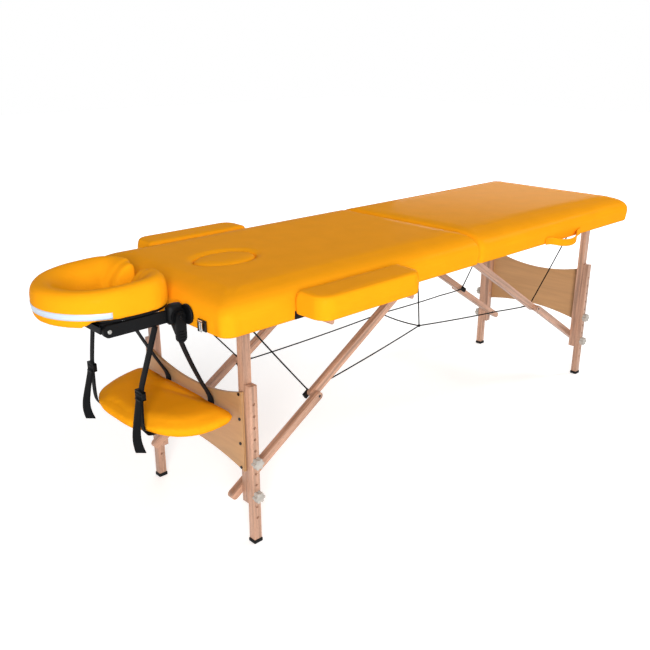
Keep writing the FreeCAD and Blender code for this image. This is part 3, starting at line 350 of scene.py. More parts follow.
def outline_face(bm, corners, z):
    """One flat face from corner points in millimetres, each corner rounded to its own radius."""
    verts = [bm.verts.new(at(x, y, z)) for x, y, _ in corners]
    bm.faces.new(verts)
    for vert, (_, _, radius) in zip(verts, corners):
        bmesh.ops.bevel(bm, geom=[vert], offset=radius * MM, offset_type="OFFSET", segments=10, profile=0.5,
                        affect="VERTICES", material=-1, clamp_overlap=False)
    return base_face(bm)


def base_face(bm):
    """Turn a form's one face upwards and leave a copy of it below."""
    face = bm.faces[:][0]
    face.normal_update()
    if face.normal.z < 0:
        face.normal_flip()
    bmesh.ops.duplicate(bm, geom=[face])
    return face


def fit_ring(bm, face, low, high, z):
    """Start a new ring inside a face and fit it to a rectangle, in metres, at a height."""
    bmesh.ops.inset_region(bm, faces=[face], thickness=0.1 * MM, depth=0, use_boundary=True)
    xs = [v.co.x for v in face.verts]
    ys = [v.co.y for v in face.verts]
    middle = Vector(((min(xs) + max(xs)) / 2, (min(ys) + max(ys)) / 2, face.verts[0].co.z))
    grow = Vector(((high[0] - low[0]) / (max(xs) - min(xs)), (high[1] - low[1]) / (max(ys) - min(ys)), 1))
    goal = Vector(((low[0] + high[0]) / 2, (low[1] + high[1]) / 2, z))
    bmesh.ops.translate(bm, verts=face.verts[:], vec=-middle)
    bmesh.ops.scale(bm, verts=face.verts[:], vec=grow)
    bmesh.ops.translate(bm, verts=face.verts[:], vec=goal)


def crown_steps(count, fullness=2.0):
    """Shares of the run and the rise along a quarter round; above 2 its shoulder is fuller."""
    power = 2 / fullness
    turns = [math.pi / 2 * step / count for step in range(1, count + 1)]
    return [(1 - max(0.0, math.cos(turn)) ** power, math.sin(turn) ** power) for turn in turns]


def close_form(bm):
    bmesh.ops.remove_doubles(bm, verts=bm.verts[:], dist=0.02 * MM)
    bmesh.ops.recalc_face_normals(bm, faces=bm.faces[:])


def upholstered(corners, bottom, widest, top, draw, runs, fullness=2.0):
    """A padded form over a rounded outline; runs are the crown's widths at -X, +X and both sides."""
    bm = bmesh.new()
    face = outline_face(bm, corners, bottom)
    xs, ys = [c[0] for c in corners], [c[1] for c in corners]
    low, high = at(min(xs), min(ys), 0), at(max(xs), max(ys), 0)
    levels = [((0, 0, 0), widest)]
    for run, rise in crown_steps(8, fullness):
        levels.append(([width * run for width in runs], widest + (top - widest) * rise))
    for (low_x, high_x, side), z in levels:
        fit_ring(bm, face, (low.x + low_x * MM, low.y + side * MM),
                 (high.x - high_x * MM, high.y - side * MM), z * MM)
    base = [v for v in bm.verts if v.co.z < (bottom + 0.01) * MM]
    centre = (low + high) / 2
    shrink = Vector((1 - 2 * draw * MM / (high.x - low.x), 1 - 2 * draw * MM / (high.y - low.y), 1))
    bmesh.ops.scale(bm, verts=base, vec=shrink, space=Matrix.Translation(-centre))
    close_form(bm)
    return bm


def stuffed(bm, name, voxel, swell, hold_below=None):
    """A cover filled with foam: an even mesh blown up as cloth, each point kept near where it began."""
    draft = object_from(bm, name + "_draft")
    even = draft.modifiers.new("Even mesh", "REMESH")
    even.mode = "VOXEL"
    even.voxel_size = voxel
    body = show(finished_mesh(draft), name)
    drop(draft)
    start = [(v.co.copy(), v.normal.copy()) for v in body.data.vertices]
    held = body.vertex_groups.new(name="sewn")
    if hold_below is not None:
        held.add([v.index for v in body.data.vertices if v.co.z < hold_below], 1.0, "REPLACE")
    cloth = body.modifiers.new("Stuffing", "CLOTH")
    cloth.settings.quality = 4
    cloth.settings.mass = 0.4
    cloth.settings.tension_stiffness = 25
    cloth.settings.compression_stiffness = 25
    cloth.settings.use_pressure = True
    cloth.settings.uniform_pressure_force = 4
    cloth.settings.effector_weights.gravity = 0
    if hold_below is not None:
        cloth.settings.vertex_group_mass = held.name
    cloth.collision_settings.use_collision = False
    scene = bpy.context.scene
    for step in range(1, STUFFING_FRAMES + 1):
        scene.frame_set(step)
    mesh = finished_mesh(body)
    scene.frame_set(1)
    drop(body)
    for vert, (first, out) in zip(mesh.vertices, start):
        move = vert.co - first
        if move.dot(out) < 0:
            move -= out * move.dot(out)
        vert.co = first + move.normalized() * min(move.length, swell)
    return smooth(show(mesh, name))


def finer(obj):
    """One level of subdivision, kept live."""
    fine = obj.modifiers.new("Fine mesh", "SUBSURF")
    fine.levels = fine.render_levels = 1
    return obj


def joined(bm, name, *materials):
    """Finish a hard piece: outward faces, smooth but for its sharp edges."""
    bmesh.ops.recalc_face_normals(bm, faces=bm.faces[:])
    for edge in bm.edges:
        edge.smooth = len(edge.link_faces) != 2 or edge.calc_face_angle() < math.radians(35)
    return dress(smooth(object_from(bm, name)), *materials)


def block(bm, low, high, edge, turn=None):
    """A block between two corners in metres, its edges rounded; turn is a rotation about its middle."""
    made = bmesh.ops.create_cube(bm, size=1)["verts"]
    bmesh.ops.scale(bm, verts=made, vec=high - low)
    edges = list({e for v in made for e in v.link_edges})
    rounded = bmesh.ops.bevel(bm, geom=edges, offset=edge, offset_type="OFFSET", segments=3, profile=0.5,
                              affect="EDGES", material=-1)
    verts = list({v for f in rounded["faces"] for v in f.verts} | {v for v in made if v.is_valid})
    if turn:
        bmesh.ops.rotate(bm, verts=verts, cent=(0, 0, 0), matrix=turn)
    bmesh.ops.translate(bm, verts=verts, vec=(low + high) / 2)


def aim(bm, verts, axis, place):
    """Turn a form that stands along Z to an axis and move it from the origin to a place."""
    turn = Vector((0, 0, 1)).rotation_difference(axis).to_matrix()
    bmesh.ops.rotate(bm, verts=verts, cent=(0, 0, 0), matrix=turn)
    bmesh.ops.translate(bm, verts=verts, vec=place)


def disc(bm, centre, axis, radius, height, edge):
    """A round head standing on a point along an axis, its upper edge rounded."""
    made = bmesh.ops.create_cone(bm, cap_ends=True, segments=28, radius1=radius, radius2=radius, depth=height)
    verts = made["verts"]
    bmesh.ops.translate(bm, verts=verts, vec=(0, 0, height / 2))
    rim = [e for v in verts for e in v.link_edges if all(p.co.z > height * 0.9 for p in e.verts)]
    rounded = bmesh.ops.bevel(bm, geom=list(set(rim)), offset=edge, offset_type="OFFSET", segments=3,
                              profile=0.5, affect="EDGES", material=-1)
    verts = list({v for f in rounded["faces"] for v in f.verts} | {v for v in verts if v.is_valid})
    aim(bm, verts, axis, centre)


def pierced(obj, cutter):
    """The object with a bmesh form taken out of it."""
    name, tool = obj.name, object_from(cutter, "cutter")
    cut = obj.modifiers.new("Opening", "BOOLEAN")
    cut.operation = "DIFFERENCE"
    cut.solver = "EXACT"
    cut.object = tool
    mesh = finished_mesh(obj)
    drop(obj, tool)
    return show(mesh, name)


def route_curve(name, points):
    """A smooth line with the given points as its controls."""
    curve = bpy.data.curves.new(name, "CURVE")
    curve.dimensions = "3D"
    spline = curve.splines.new("NURBS")
    spline.points.add(len(points) - 1)
    for control, point in zip(spline.points, points):
        control.co = (*point, 1)
    spline.order_u = 3
    spline.use_endpoint_u = True
    curve.resolution_u = 10
    return curve


def route_points(points):
    """Points read from the smooth line, in order."""
    holder = show(route_curve("route", points), "route")
    line = [v.co.copy() for v in finished_mesh(holder).vertices]
    drop(holder)
    return line


def along(line, share):
    """The point at a share of a line's stored points."""
    place = share * (len(line) - 1)
    first = min(int(place), len(line) - 2)
    return line[first].lerp(line[first + 1], place - first)


def ribbon(bm, points, across, width, columns=4, turned=None):
    """A flat band along a smooth route; its width lies along one direction, or turns from it to another.
    Its UVs are in metres."""
    line = route_points(points)
    steps = [0.0]
    for a, b in zip(line, line[1:]):
        steps.append(steps[-1] + (b - a).length)
    made = bmesh.ops.create_grid(bm, x_segments=len(line) - 1, y_segments=columns, size=0.5)["verts"]
    weave = bm.loops.layers.uv.verify()
    place = {}
    for vert in made:
        share, side = vert.co.x + 0.5, vert.co.y
        way = across.lerp(turned, share ** 2).normalized() if turned else across
        vert.co = along(line, share) + way * (side * width)
        place[vert] = (share * steps[-1], side * width)
    for face in {f for v in made for f in v.link_faces}:
        for loop in face.loops:
            loop[weave].uv = place[loop.vert]


def band_object(bm, name, thick, *materials):
    """Give a band its thickness."""
    obj = dress(smooth(object_from(bm, name)), *materials)
    obj.data.uv_layers[0].name = "weave"
    wall = obj.modifiers.new("Thickness", "SOLIDIFY")
    wall.thickness = thick
    wall.offset = 0
    return obj


# Table pads and the plug of the face hole
def pad_corners():
    return [(-929.5, -PAD_HALF, 28), (-0.5, -PAD_HALF, 14), (-0.5, PAD_HALF, 14), (-929.5, PAD_HALF, 28)]


HOLE = {"x": -701, "long": 92, "short": 66}


def hole_distance(point):
    """How far a point lies outside the face hole, in metres; negative inside."""
    centre = at(HOLE["x"], 0, 0)
    dx, dy = (point.x - centre.x) / (HOLE["long"] * MM), (point.y - centre.y) / (HOLE["short"] * MM)
    reach = math.hypot(dx, dy)
    return -1.0 if reach < 1e-6 else (reach - 1) * (point.xy - centre.xy).length / reach


def oval_prism(bm, low, high):
    made = bmesh.ops.create_cone(bm, cap_ends=True, segments=72, radius1=1, radius2=1, depth=1)["verts"]
    bmesh.ops.scale(bm, verts=made, vec=(HOLE["long"] * MM, HOLE["short"] * MM, (high - low) * MM))
    bmesh.ops.translate(bm, verts=made, vec=at(HOLE["x"], 0, (low + high) / 2))


def pleat_corners(mesh, depth):
    """Small gathers where the cover is folded round the end's corners."""
    for vert in mesh.vertices:
        for side in (-1, 1):
            centre = at(-870, side * 248, 0)
            away = Vector((centre.x - vert.co.x, (vert.co.y - centre.y) * side))
            if min(away) <= 0:
                continue
            turn = math.atan2(away.y, away.x)
            low = max(0.0, 1 - abs(vert.co.z - 626 * MM) / (34 * MM))
            edge = min(1.0, away.length / (50 * MM)) ** 4
            fold = depth * low * edge * math.sin(2 * turn) * math.cos(11 * turn)
            vert.co += Vector((-away.x, away.y * side, 0)).normalized() * fold


class MASSAGE_TABLE_OT_pads(bpy.types.Operator):
    """Stuff the two table pads, open the face hole and turn the covers in under the frame"""
    bl_idname = "massage_table.pads"
    bl_label = "Table pads"

    def execute(self, context):
        form = upholstered(pad_corners(), bottom=609, widest=PAD_WIDEST, top=698.5, draw=3, runs=(105, 30, 105),
                           fullness=2.5)
        pad = stuffed(form, "head_pad", settings().pad_voxel, settings().swell / 2, hold_below=PAD_WIDEST * MM)
        pleat_corners(pad.data, 1.6 * MM)
        mirror = pad.data.copy()
        mirror.transform(Matrix.Translation((2 * SEAM_X, 0, 0)) @ Matrix.Diagonal((-1, 1, 1, 1)))
        mirror.flip_normals()
        foot = show(mirror, "foot_pad")
        for vert in pad.data.vertices:
            if vert.co.z > 680 * MM:
                edge = hole_distance(vert.co)
                vert.co.z -= 5 * MM * math.exp(-(edge / (9 * MM)) ** 2)
        opening = bmesh.new()
        oval_prism(opening, 600, 720)
        for end, obj in (("head", pierced(pad, opening)), ("foot", foot)):
            self.open_below(obj)
            dress(smooth(obj), vinyl())
            wall = obj.modifiers.new("Cover", "SOLIDIFY")
            wall.thickness = 1.5 * MM
            wall.offset = -1
            mount(obj, f"{end}_section", "vinyl", f"{end}_cover", f"{end}_foam")
        return {"FINISHED"}

    def open_below(self, obj):
        """Take the underside away, but for a hem turned in under the rails."""
        bm = bmesh.new()
        bm.from_mesh(obj.data)
        xs = [v.co.x for v in bm.verts]
        low, high, hem = min(xs), max(xs), 30 * MM
        inner = []
        for face in bm.faces:
            middle = face.calc_center_median()
            inside = low + hem < middle.x < high - hem and abs(middle.y) < PAD_HALF * MM - hem
            # the hinge leaves lie under the seam, so the hem stops either side of them
            hinges = abs(middle.x - SEAM_X) < 40 * MM and abs(middle.y) < 236 * MM
            if (inside and middle.z < 625 * MM) or (hinges and middle.z < 615.5 * MM):
                inner.append(face)
        bmesh.ops.delete(bm, geom=inner, context="FACES")
        bmesh.ops.recalc_face_normals(bm, faces=bm.faces[:])
        top = max(bm.faces, key=lambda face: face.calc_center_median().z)
        if top.normal.z < 0:
            bmesh.ops.reverse_faces(bm, faces=bm.faces[:])
        bm.to_mesh(obj.data)
        bm.free()


class MASSAGE_TABLE_OT_face_plug(bpy.types.Operator):
    """Make the padded plug that closes the face hole"""
    bl_idname = "massage_table.face_plug"
    bl_label = "Face hole plug"

    def execute(self, context):
        bm = bmesh.new()
        bmesh.ops.create_circle(bm, cap_ends=True, segments=72, radius=1)
        reach = Vector((HOLE["long"] - 1.5, HOLE["short"] - 1.5, 0))
        bmesh.ops.scale(bm, verts=bm.verts[:], vec=(reach.x * MM, reach.y * MM, 1))
        bmesh.ops.translate(bm, verts=bm.verts[:], vec=at(HOLE["x"], 0, 658))
        face = base_face(bm)
        low, high = at(HOLE["x"], 0, 0) - reach * MM, at(HOLE["x"], 0, 0) + reach * MM
        levels = [(0, 684)] + [(14 * run, 684 + 15 * rise) for run, rise in crown_steps(5)] + [(40, 700)]
        for inset, z in levels:
            fit_ring(bm, face, (low.x + inset * MM, low.y + inset * MM),
                     (high.x - inset * MM, high.y - inset * MM), z * MM)
        close_form(bm)
        plug = stuffed(bm, "face_hole_plug", settings().cushion_voxel, 1 * MM, hold_below=670 * MM)
        dress(finer(plug), vinyl())
        mount(plug, "face_plug", "vinyl", "face_plug")
        return {"FINISHED"}


# Face cradle
class MASSAGE_TABLE_OT_face_cushion(bpy.types.Operator):
    """Stuff the horseshoe cushion and lay the tape round its front"""
    bl_idname = "massage_table.face_cushion"
    bl_label = "Face cushion"

    # where the front bend has its centre, where the lip before it begins, and the underside's height
    CENTRE = -1057
    NOSE = -1136
    SEAT = 659.5

    def execute(self, context):
        bm = self.horseshoe()
        cushion = stuffed(bm, "face_cushion_cover", settings().cushion_voxel, settings().swell, 660.5 * MM)
        dress(finer(cushion), vinyl())
        mount(cushion, "cradle_top", "vinyl", "face_cushion")
        self.tape(cushion)
        self.board()
        return {"FINISHED"}

    def horseshoe(self):
        """The cushion's form: its crown leans outwards and a lip hangs over the platform's edge in front."""
        profile = [(0.66, self.SEAT), (0.69, 650), (0.76, 643), (0.86, 643), (0.94, 651), (0.985, 664),
                   (1.0, 680), (1.0, 696), (0.96, 710), (0.87, 721), (0.72, 728), (0.5, 731), (0.24, 729),
                   (-0.04, 723), (-0.3, 714), (-0.56, 703), (-0.78, 691), (-0.93, 679), (-0.97, 668),
                   (-0.85, self.SEAT)]
        bm = self.swept(profile, ((8, 0.84), (10, 0.82), (8, 0.78), (5, 0.68), (3, 0.5)))
        nose, back, rest = at(self.NOSE, 0, 0).x, at(-985, 0, 0).x, at(-950, 0, 0).x
        for vert in bm.verts:
            # no lip beside the arms, the crown falls a little to the front, and the back lies flat
            if vert.co.z < self.SEAT * MM:
                share = min(1.0, max(0.0, (nose - vert.co.x) / (18 * MM)))
                vert.co.z = self.SEAT * MM - (self.SEAT * MM - vert.co.z) * share
            if vert.co.z > 680 * MM:
                vert.co.z -= 0.05 * max(0.0, back - vert.co.x) * (vert.co.z - 680 * MM) / (50 * MM)
            if vert.co.x > rest:
                vert.co.x = rest + (vert.co.x - rest) * 0.5
        return bm

    def board(self):
        """The black board that the cushion lies on; in front it stays behind the lip."""
        bm = self.swept([(-0.75, 653.8), (0.88, 653.8), (0.88, 658.9), (-0.75, 658.9)], ((34, None),))
        centre = at(self.CENTRE, 0, 0)
        for vert in bm.verts:
            out = Vector((vert.co.x - centre.x, vert.co.y))
            limit = (134 + 13 * min(1.0, max(0.0, (vert.co.x - at(self.NOSE, 0, 0).x) / (8 * MM)))) * MM
            if out.x < 0 and out.length > limit:
                out *= limit / out.length
                vert.co = Vector((centre.x + out.x, out.y, vert.co.z))
        # a fairing over and before the tilting tube closes the slit between the arms and the board
        block(bm, at(-1134, -138.8, 647), at(-1080, 138.8, 655), 1.5 * MM)
        block(bm, at(-1134, -138.8, 632), at(-1128, 138.8, 655), 1.5 * MM)
        mount(joined(bm, "cushion_board", black_plastic()), "cradle_top", "black_plastic")

    def swept(self, profile, ends):
        """Half of a horseshoe, turned and drawn from one section, then mirrored."""
        bm = bmesh.new()
        ring = bmesh.ops.create_circle(bm, segments=len(profile), radius=1)["verts"]
        for vert, (out, z) in zip(ring, profile):
            vert.co = at(-1163 - 46 * out, 0, z)
        edges = list({e for v in ring for e in v.link_edges})
        edges = self.swung(bm, edges, at(self.CENTRE, 0, 0), 16)
        edges = self.drawn(bm, edges, (38, 0, 0))
        edges = self.swung(bm, edges, at(-1019, 60, 0), 8)
        for step, size in ends:
            edges = self.drawn(bm, edges, (0, -step, 0), size)
        bmesh.ops.holes_fill(bm, edges=edges)
        bmesh.ops.mirror(bm, geom=bm.verts[:] + bm.edges[:] + bm.faces[:], axis="Y", merge_dist=0.1 * MM)
        bmesh.ops.recalc_face_normals(bm, faces=bm.faces[:])
        return bm

    def swung(self, bm, edges, centre, steps):
        """Swing a ring of edges a quarter turn towards the far side."""
        made = bmesh.ops.spin(bm, geom=edges, cent=centre, axis=(0, 0, 1), angle=math.radians(-90),
                              steps=steps)
        return [g for g in made["geom_last"] if isinstance(g, bmesh.types.BMEdge)]

    def drawn(self, bm, edges, way, size=None):
        """Draw a ring of edges out; size is its part of the first section's."""
        made = bmesh.ops.extrude_edge_only(bm, edges=edges)["geom"]
        verts = [g for g in made if isinstance(g, bmesh.types.BMVert)]
        bmesh.ops.translate(bm, verts=verts, vec=Vector(way) * MM)
        if size:
            xs, zs = [v.co.x for v in verts], [v.co.z for v in verts]
            centre = Vector(((min(xs) + max(xs)) / 2, 0, 692 * MM))
            thick, tall = size * 86 * MM, (0.5 + 0.5 * size) * 84 * MM
            grow = (thick / (max(xs) - min(xs)), 1, tall / (max(zs) - min(zs)))
            bmesh.ops.scale(bm, verts=verts, vec=grow, space=Matrix.Translation(-centre))
        return [g for g in made if isinstance(g, bmesh.types.BMEdge) and all(v in verts for v in g.verts)]

    def tape(self, cushion):
        bm = bmesh.new()
        points = []
        for turn in range(108, 253, 12):
            angle = math.radians(turn)
            points.append(at(self.CENTRE + 154 * math.cos(angle), 154 * math.sin(angle), 670))
        ribbon(bm, points, Vector((0, 0, 1)), 15 * MM)
        draft = object_from(bm, "tape_draft")
        laid = draft.modifiers.new("Laid on", "SHRINKWRAP")
        laid.target = cushion
        laid.wrap_method = "PROJECT"
        laid.use_negative_direction = True
        laid.use_positive_direction = True
        laid.offset = 0.5 * MM
        nearest = draft.modifiers.new("Against", "SHRINKWRAP")
        nearest.target = cushion
        nearest.wrap_mode = "OUTSIDE_SURFACE"
        nearest.offset = 0.5 * MM
        mesh = finished_mesh(draft)
        drop(draft)
        tape = dress(smooth(show(mesh, "cushion_tape")), strip_material())
        wall = tape.modifiers.new("Thickness", "SOLIDIFY")
        wall.thickness = 0.8 * MM
        wall.offset = 0
        mount(tape, "cradle_top", "webbing")


class MASSAGE_TABLE_OT_cradle_hardware(bpy.types.Operator):
    """Add the screws and caps of the face cradle"""
    bl_idname = "massage_table.cradle_hardware"
    bl_label = "Cradle hardware"

    def execute(self, context):
        bm = bmesh.new()
        for side in SIDES.values():
            out = Vector((0, side, 0))
            disc(bm, at(-1118, side * 150, 638), out, 5 * MM, 2.4 * MM, 1.2 * MM)
        mount(joined(bm, "cradle_screws", zinc()), "face_cradle", "steel")
        bm = bmesh.new()
        disc(bm, at(-952, 163, 638), Vector((0, 1, 0)), 13 * MM, 4 * MM, 1.5 * MM)
        for low, high in ((136, 162.6), (-162.6, -136)):
            block(bm, at(-977, low, 617), at(-934, high, 667), 12 * MM)
        for side in SIDES.values():
            disc(bm, at(-931.3, side * 167, 640), Vector((-1, 0, 0)), 24 * MM, 5.4 * MM, 2 * MM)
        mount(joined(bm, "cradle_clamps", black_plastic()), "face_cradle", "black_plastic")
        bm = bmesh.new()
        disc(bm, at(-952, -172.3, 638), Vector((0, -1, 0)), 5 * MM, 2 * MM, 1 * MM)
        for row in range(4):
            block(bm, at(-960, -174, 580 + 7 * row), at(-944, -172, 583 + 7 * row), 0.8 * MM)
        mount(joined(bm, "lever_grip", black_plastic()), "cam_lever", "black_plastic")
        return {"FINISHED"}


# Arm sling
class MASSAGE_TABLE_OT_arm_sling(bpy.types.Operator):
    """Stuff the arm sling and hang it on its straps"""
    bl_idname = "massage_table.arm_sling"
    bl_label = "Arm sling"

    # height of the sling's edge
    LEVEL = 364

    def execute(self, context):
        corners = [(-1055, -212, 176), (-840, -212, 24), (-840, 212, 24), (-1055, 212, 176)]
        form = upholstered(corners, bottom=349, widest=self.LEVEL, top=384, draw=9, runs=(52, 52, 52))
        pad = stuffed(form, "arm_sling_pad", settings().cushion_voxel * 1.2, settings().swell)
        self.dent(pad.data)
        dress(finer(pad), vinyl())
        mount(pad, "face_cradle", "vinyl", "sling_pad")
        self.straps()
        self.buckles()
        return {"FINISHED"}

    def dent(self, mesh):
        """The straps pull the edge in, the ends beyond them hang, and a soft fold runs between."""
        for vert in mesh.vertices:
            for x, y in ((-1036, 114), (-1036, -114), (-838, 98), (-838, -98)):
                away = (vert.co - at(x, y, self.LEVEL)).xy.length
                pull = math.exp(-(away / (26 * MM)) ** 2)
                vert.co.z -= 4 * MM * pull * (1 if vert.co.z > self.LEVEL * MM else -1)
            fold = (vert.co.x - at(-905, 0, 0).x) + 0.28 * (vert.co.y - 0.03)
            reach = max(0.0, 1 - abs(vert.co.y + 0.05) / 0.13)
            if vert.co.z > 370 * MM:
                vert.co.z -= 3.4 * MM * reach * math.exp(-(fold / (12 * MM)) ** 2)
            over = max(0.0, abs(vert.co.y) - 105 * MM) / (110 * MM)
            front = min(1.0, max(0.0, (at(-870, 0, 0).x - vert.co.x) / (110 * MM)))
            vert.co.z -= (3 + 14 * front) * MM * over ** 1.5

    def straps(self):
        bm = bmesh.new()
        level, width = Vector((0, 1, 0)), settings().strap_width
        slant = Vector((0.12, 0.993, 0))
        for side in SIDES.values():
            ribbon(bm, [at(-952, side * 134, 618), at(-915, side * 118, 530), at(-862, side * 102, 425),
                        at(-838, side * 99, 385), at(-833, side * 98, 362), at(-842, side * 97, 346),
                        at(-868, side * 96, 344)], level, width)
            ribbon(bm, [at(-1004, side * 145, 624), at(-1016, side * 136, 570), at(-1032, side * 124, 500),
                        at(-1039, side * 118, 466), at(-1040, side * 117, 444)], slant, width)
            ribbon(bm, [at(-1040, side * 117, 462), at(-1041, side * 116, 430), at(-1042, side * 115, 390),
                        at(-1040, side * 114, 362), at(-1030, side * 112, 346), at(-1002, side * 108, 344)],
                   slant, width)
            ribbon(bm, [at(-1043, side * 117, 462), at(-1047, side * 118, 440), at(-1056, side * 121, 400),
                        at(-1064, side * 124, 360), at(-1062, side * 125, 330), at(-1056, side * 124, 312)],
                   level, width, turned=Vector((-0.72, 0.69, 0)))
        straps = band_object(bm, "sling_webbing", 2 * MM, webbing_material())
        mount(straps, "face_cradle", "webbing", "sling_straps")

    def buckles(self):
        """Ladder buckles: a frame, a toothed bar and a thumb lip."""
        bm = bmesh.new()
        for side in SIDES.values():
            y = side * 117
            for low, high in ((444, 449), (461, 466), (453, 457)):
                block(bm, at(-1046, y - 16.5, low), at(-1035, y + 16.5, high), 1.6 * MM)
            for edge in (-1, 1):
                mid = y + edge * 14.7
                block(bm, at(-1046, mid - 1.8, 444), at(-1035, mid + 1.8, 466), 1.6 * MM)
            block(bm, at(-1050, y - 12, 442), at(-1045, y + 12, 447), 1.6 * MM)
        mount(joined(bm, "ladder_buckles", black_plastic()), "face_cradle", "black_plastic", "strap_buckles")


# Armrests and the carry handle
class MASSAGE_TABLE_OT_armrests(bpy.types.Operator):
    """Stuff the two armrest pads"""
    bl_idname = "massage_table.armrests"
    bl_label = "Armrest pads"

    def execute(self, context):
        corners = [(-735.8, -413, 40), (-384.2, -413, 40), (-384.2, -311.5, 10), (-735.8, -311.5, 10)]
        form = upholstered(corners, bottom=629.2, widest=655, top=687, draw=1.5, runs=(9, 9, 9))
        near = stuffed(form, "near_armrest_cover", settings().cushion_voxel * 0.8, settings().swell * 0.3,
                       hold_below=645 * MM)
        mesh = near.data.copy()
        mesh.transform(Matrix.Diagonal((1, -1, 1, 1)))
        mesh.flip_normals()
        far = show(mesh, "far_armrest_cover")
        for side, obj in (("near", near), ("far", far)):
            dress(finer(obj), vinyl())
            mount(obj, f"{side}_armrest", "vinyl", f"{side}_armrest_pad")
        self.socket_plates()
        return {"FINISHED"}

    def socket_plates(self):
        """Black plates on the table's sides, with a hole for each of the armrests' pegs."""
        bm, pegs = bmesh.new(), bmesh.new()
        for side in SIDES.values():
            for x in (-699, -421):
                block(bm, at(x - 30, side * 307.2 - 2.6, 613), at(x + 30, side * 307.2 + 2.6, 634), 2 * MM)
                disc(pegs, at(x, side * 290, 624), Vector((0, side, 0)), 7.2 * MM, 40 * MM, 1 * MM)
        plates = pierced(joined(bm, "armrest_socket_plates"), pegs)
        dress(plates, black_plastic())
        mount(plates, "head_section", "black_plastic")


class MASSAGE_TABLE_OT_carry_handle(bpy.types.Operator):
    """Fold the carry handle and sew it to the side of the foot half"""
    bl_idname = "massage_table.carry_handle"
    bl_label = "Carry handle"

    def execute(self, context):
        bm = bmesh.new()
        ribbon(bm, [at(352, -309.5, 622), at(372, -309.8, 621), at(392, -313, 617), at(420, -330, 610),
                    at(460, -338, 606), at(500, -334, 609), at(530, -318, 617), at(548, -310.5, 622),
                    at(568, -309.5, 623)], Vector((0, 0, 1)), 24 * MM, 8)
        handle = band_object(bm, "vinyl_handle", 3.5 * MM, vinyl())
        edge = handle.modifiers.new("Rolled edge", "BEVEL")
        edge.width = 1.4 * MM
        edge.segments = 3
        mount(handle, "foot_section", "vinyl", "foot_handle")
        self.stitches()
        return {"FINISHED"}

    def stitches(self):
        bm = bmesh.new()
        for x in (356, 364, 556, 564):
            for row in range(6):
                z = 613 + 3.6 * row
                block(bm, at(x - 0.5, -312, z), at(x + 0.5, -311, z + 2.4), 0.35 * MM)
        thread = moulded("Twisted polyester thread", "#C97C12", rough=0.6, grit=0.6)
        mount(joined(bm, "handle_stitches", thread), "foot_section", "vinyl")


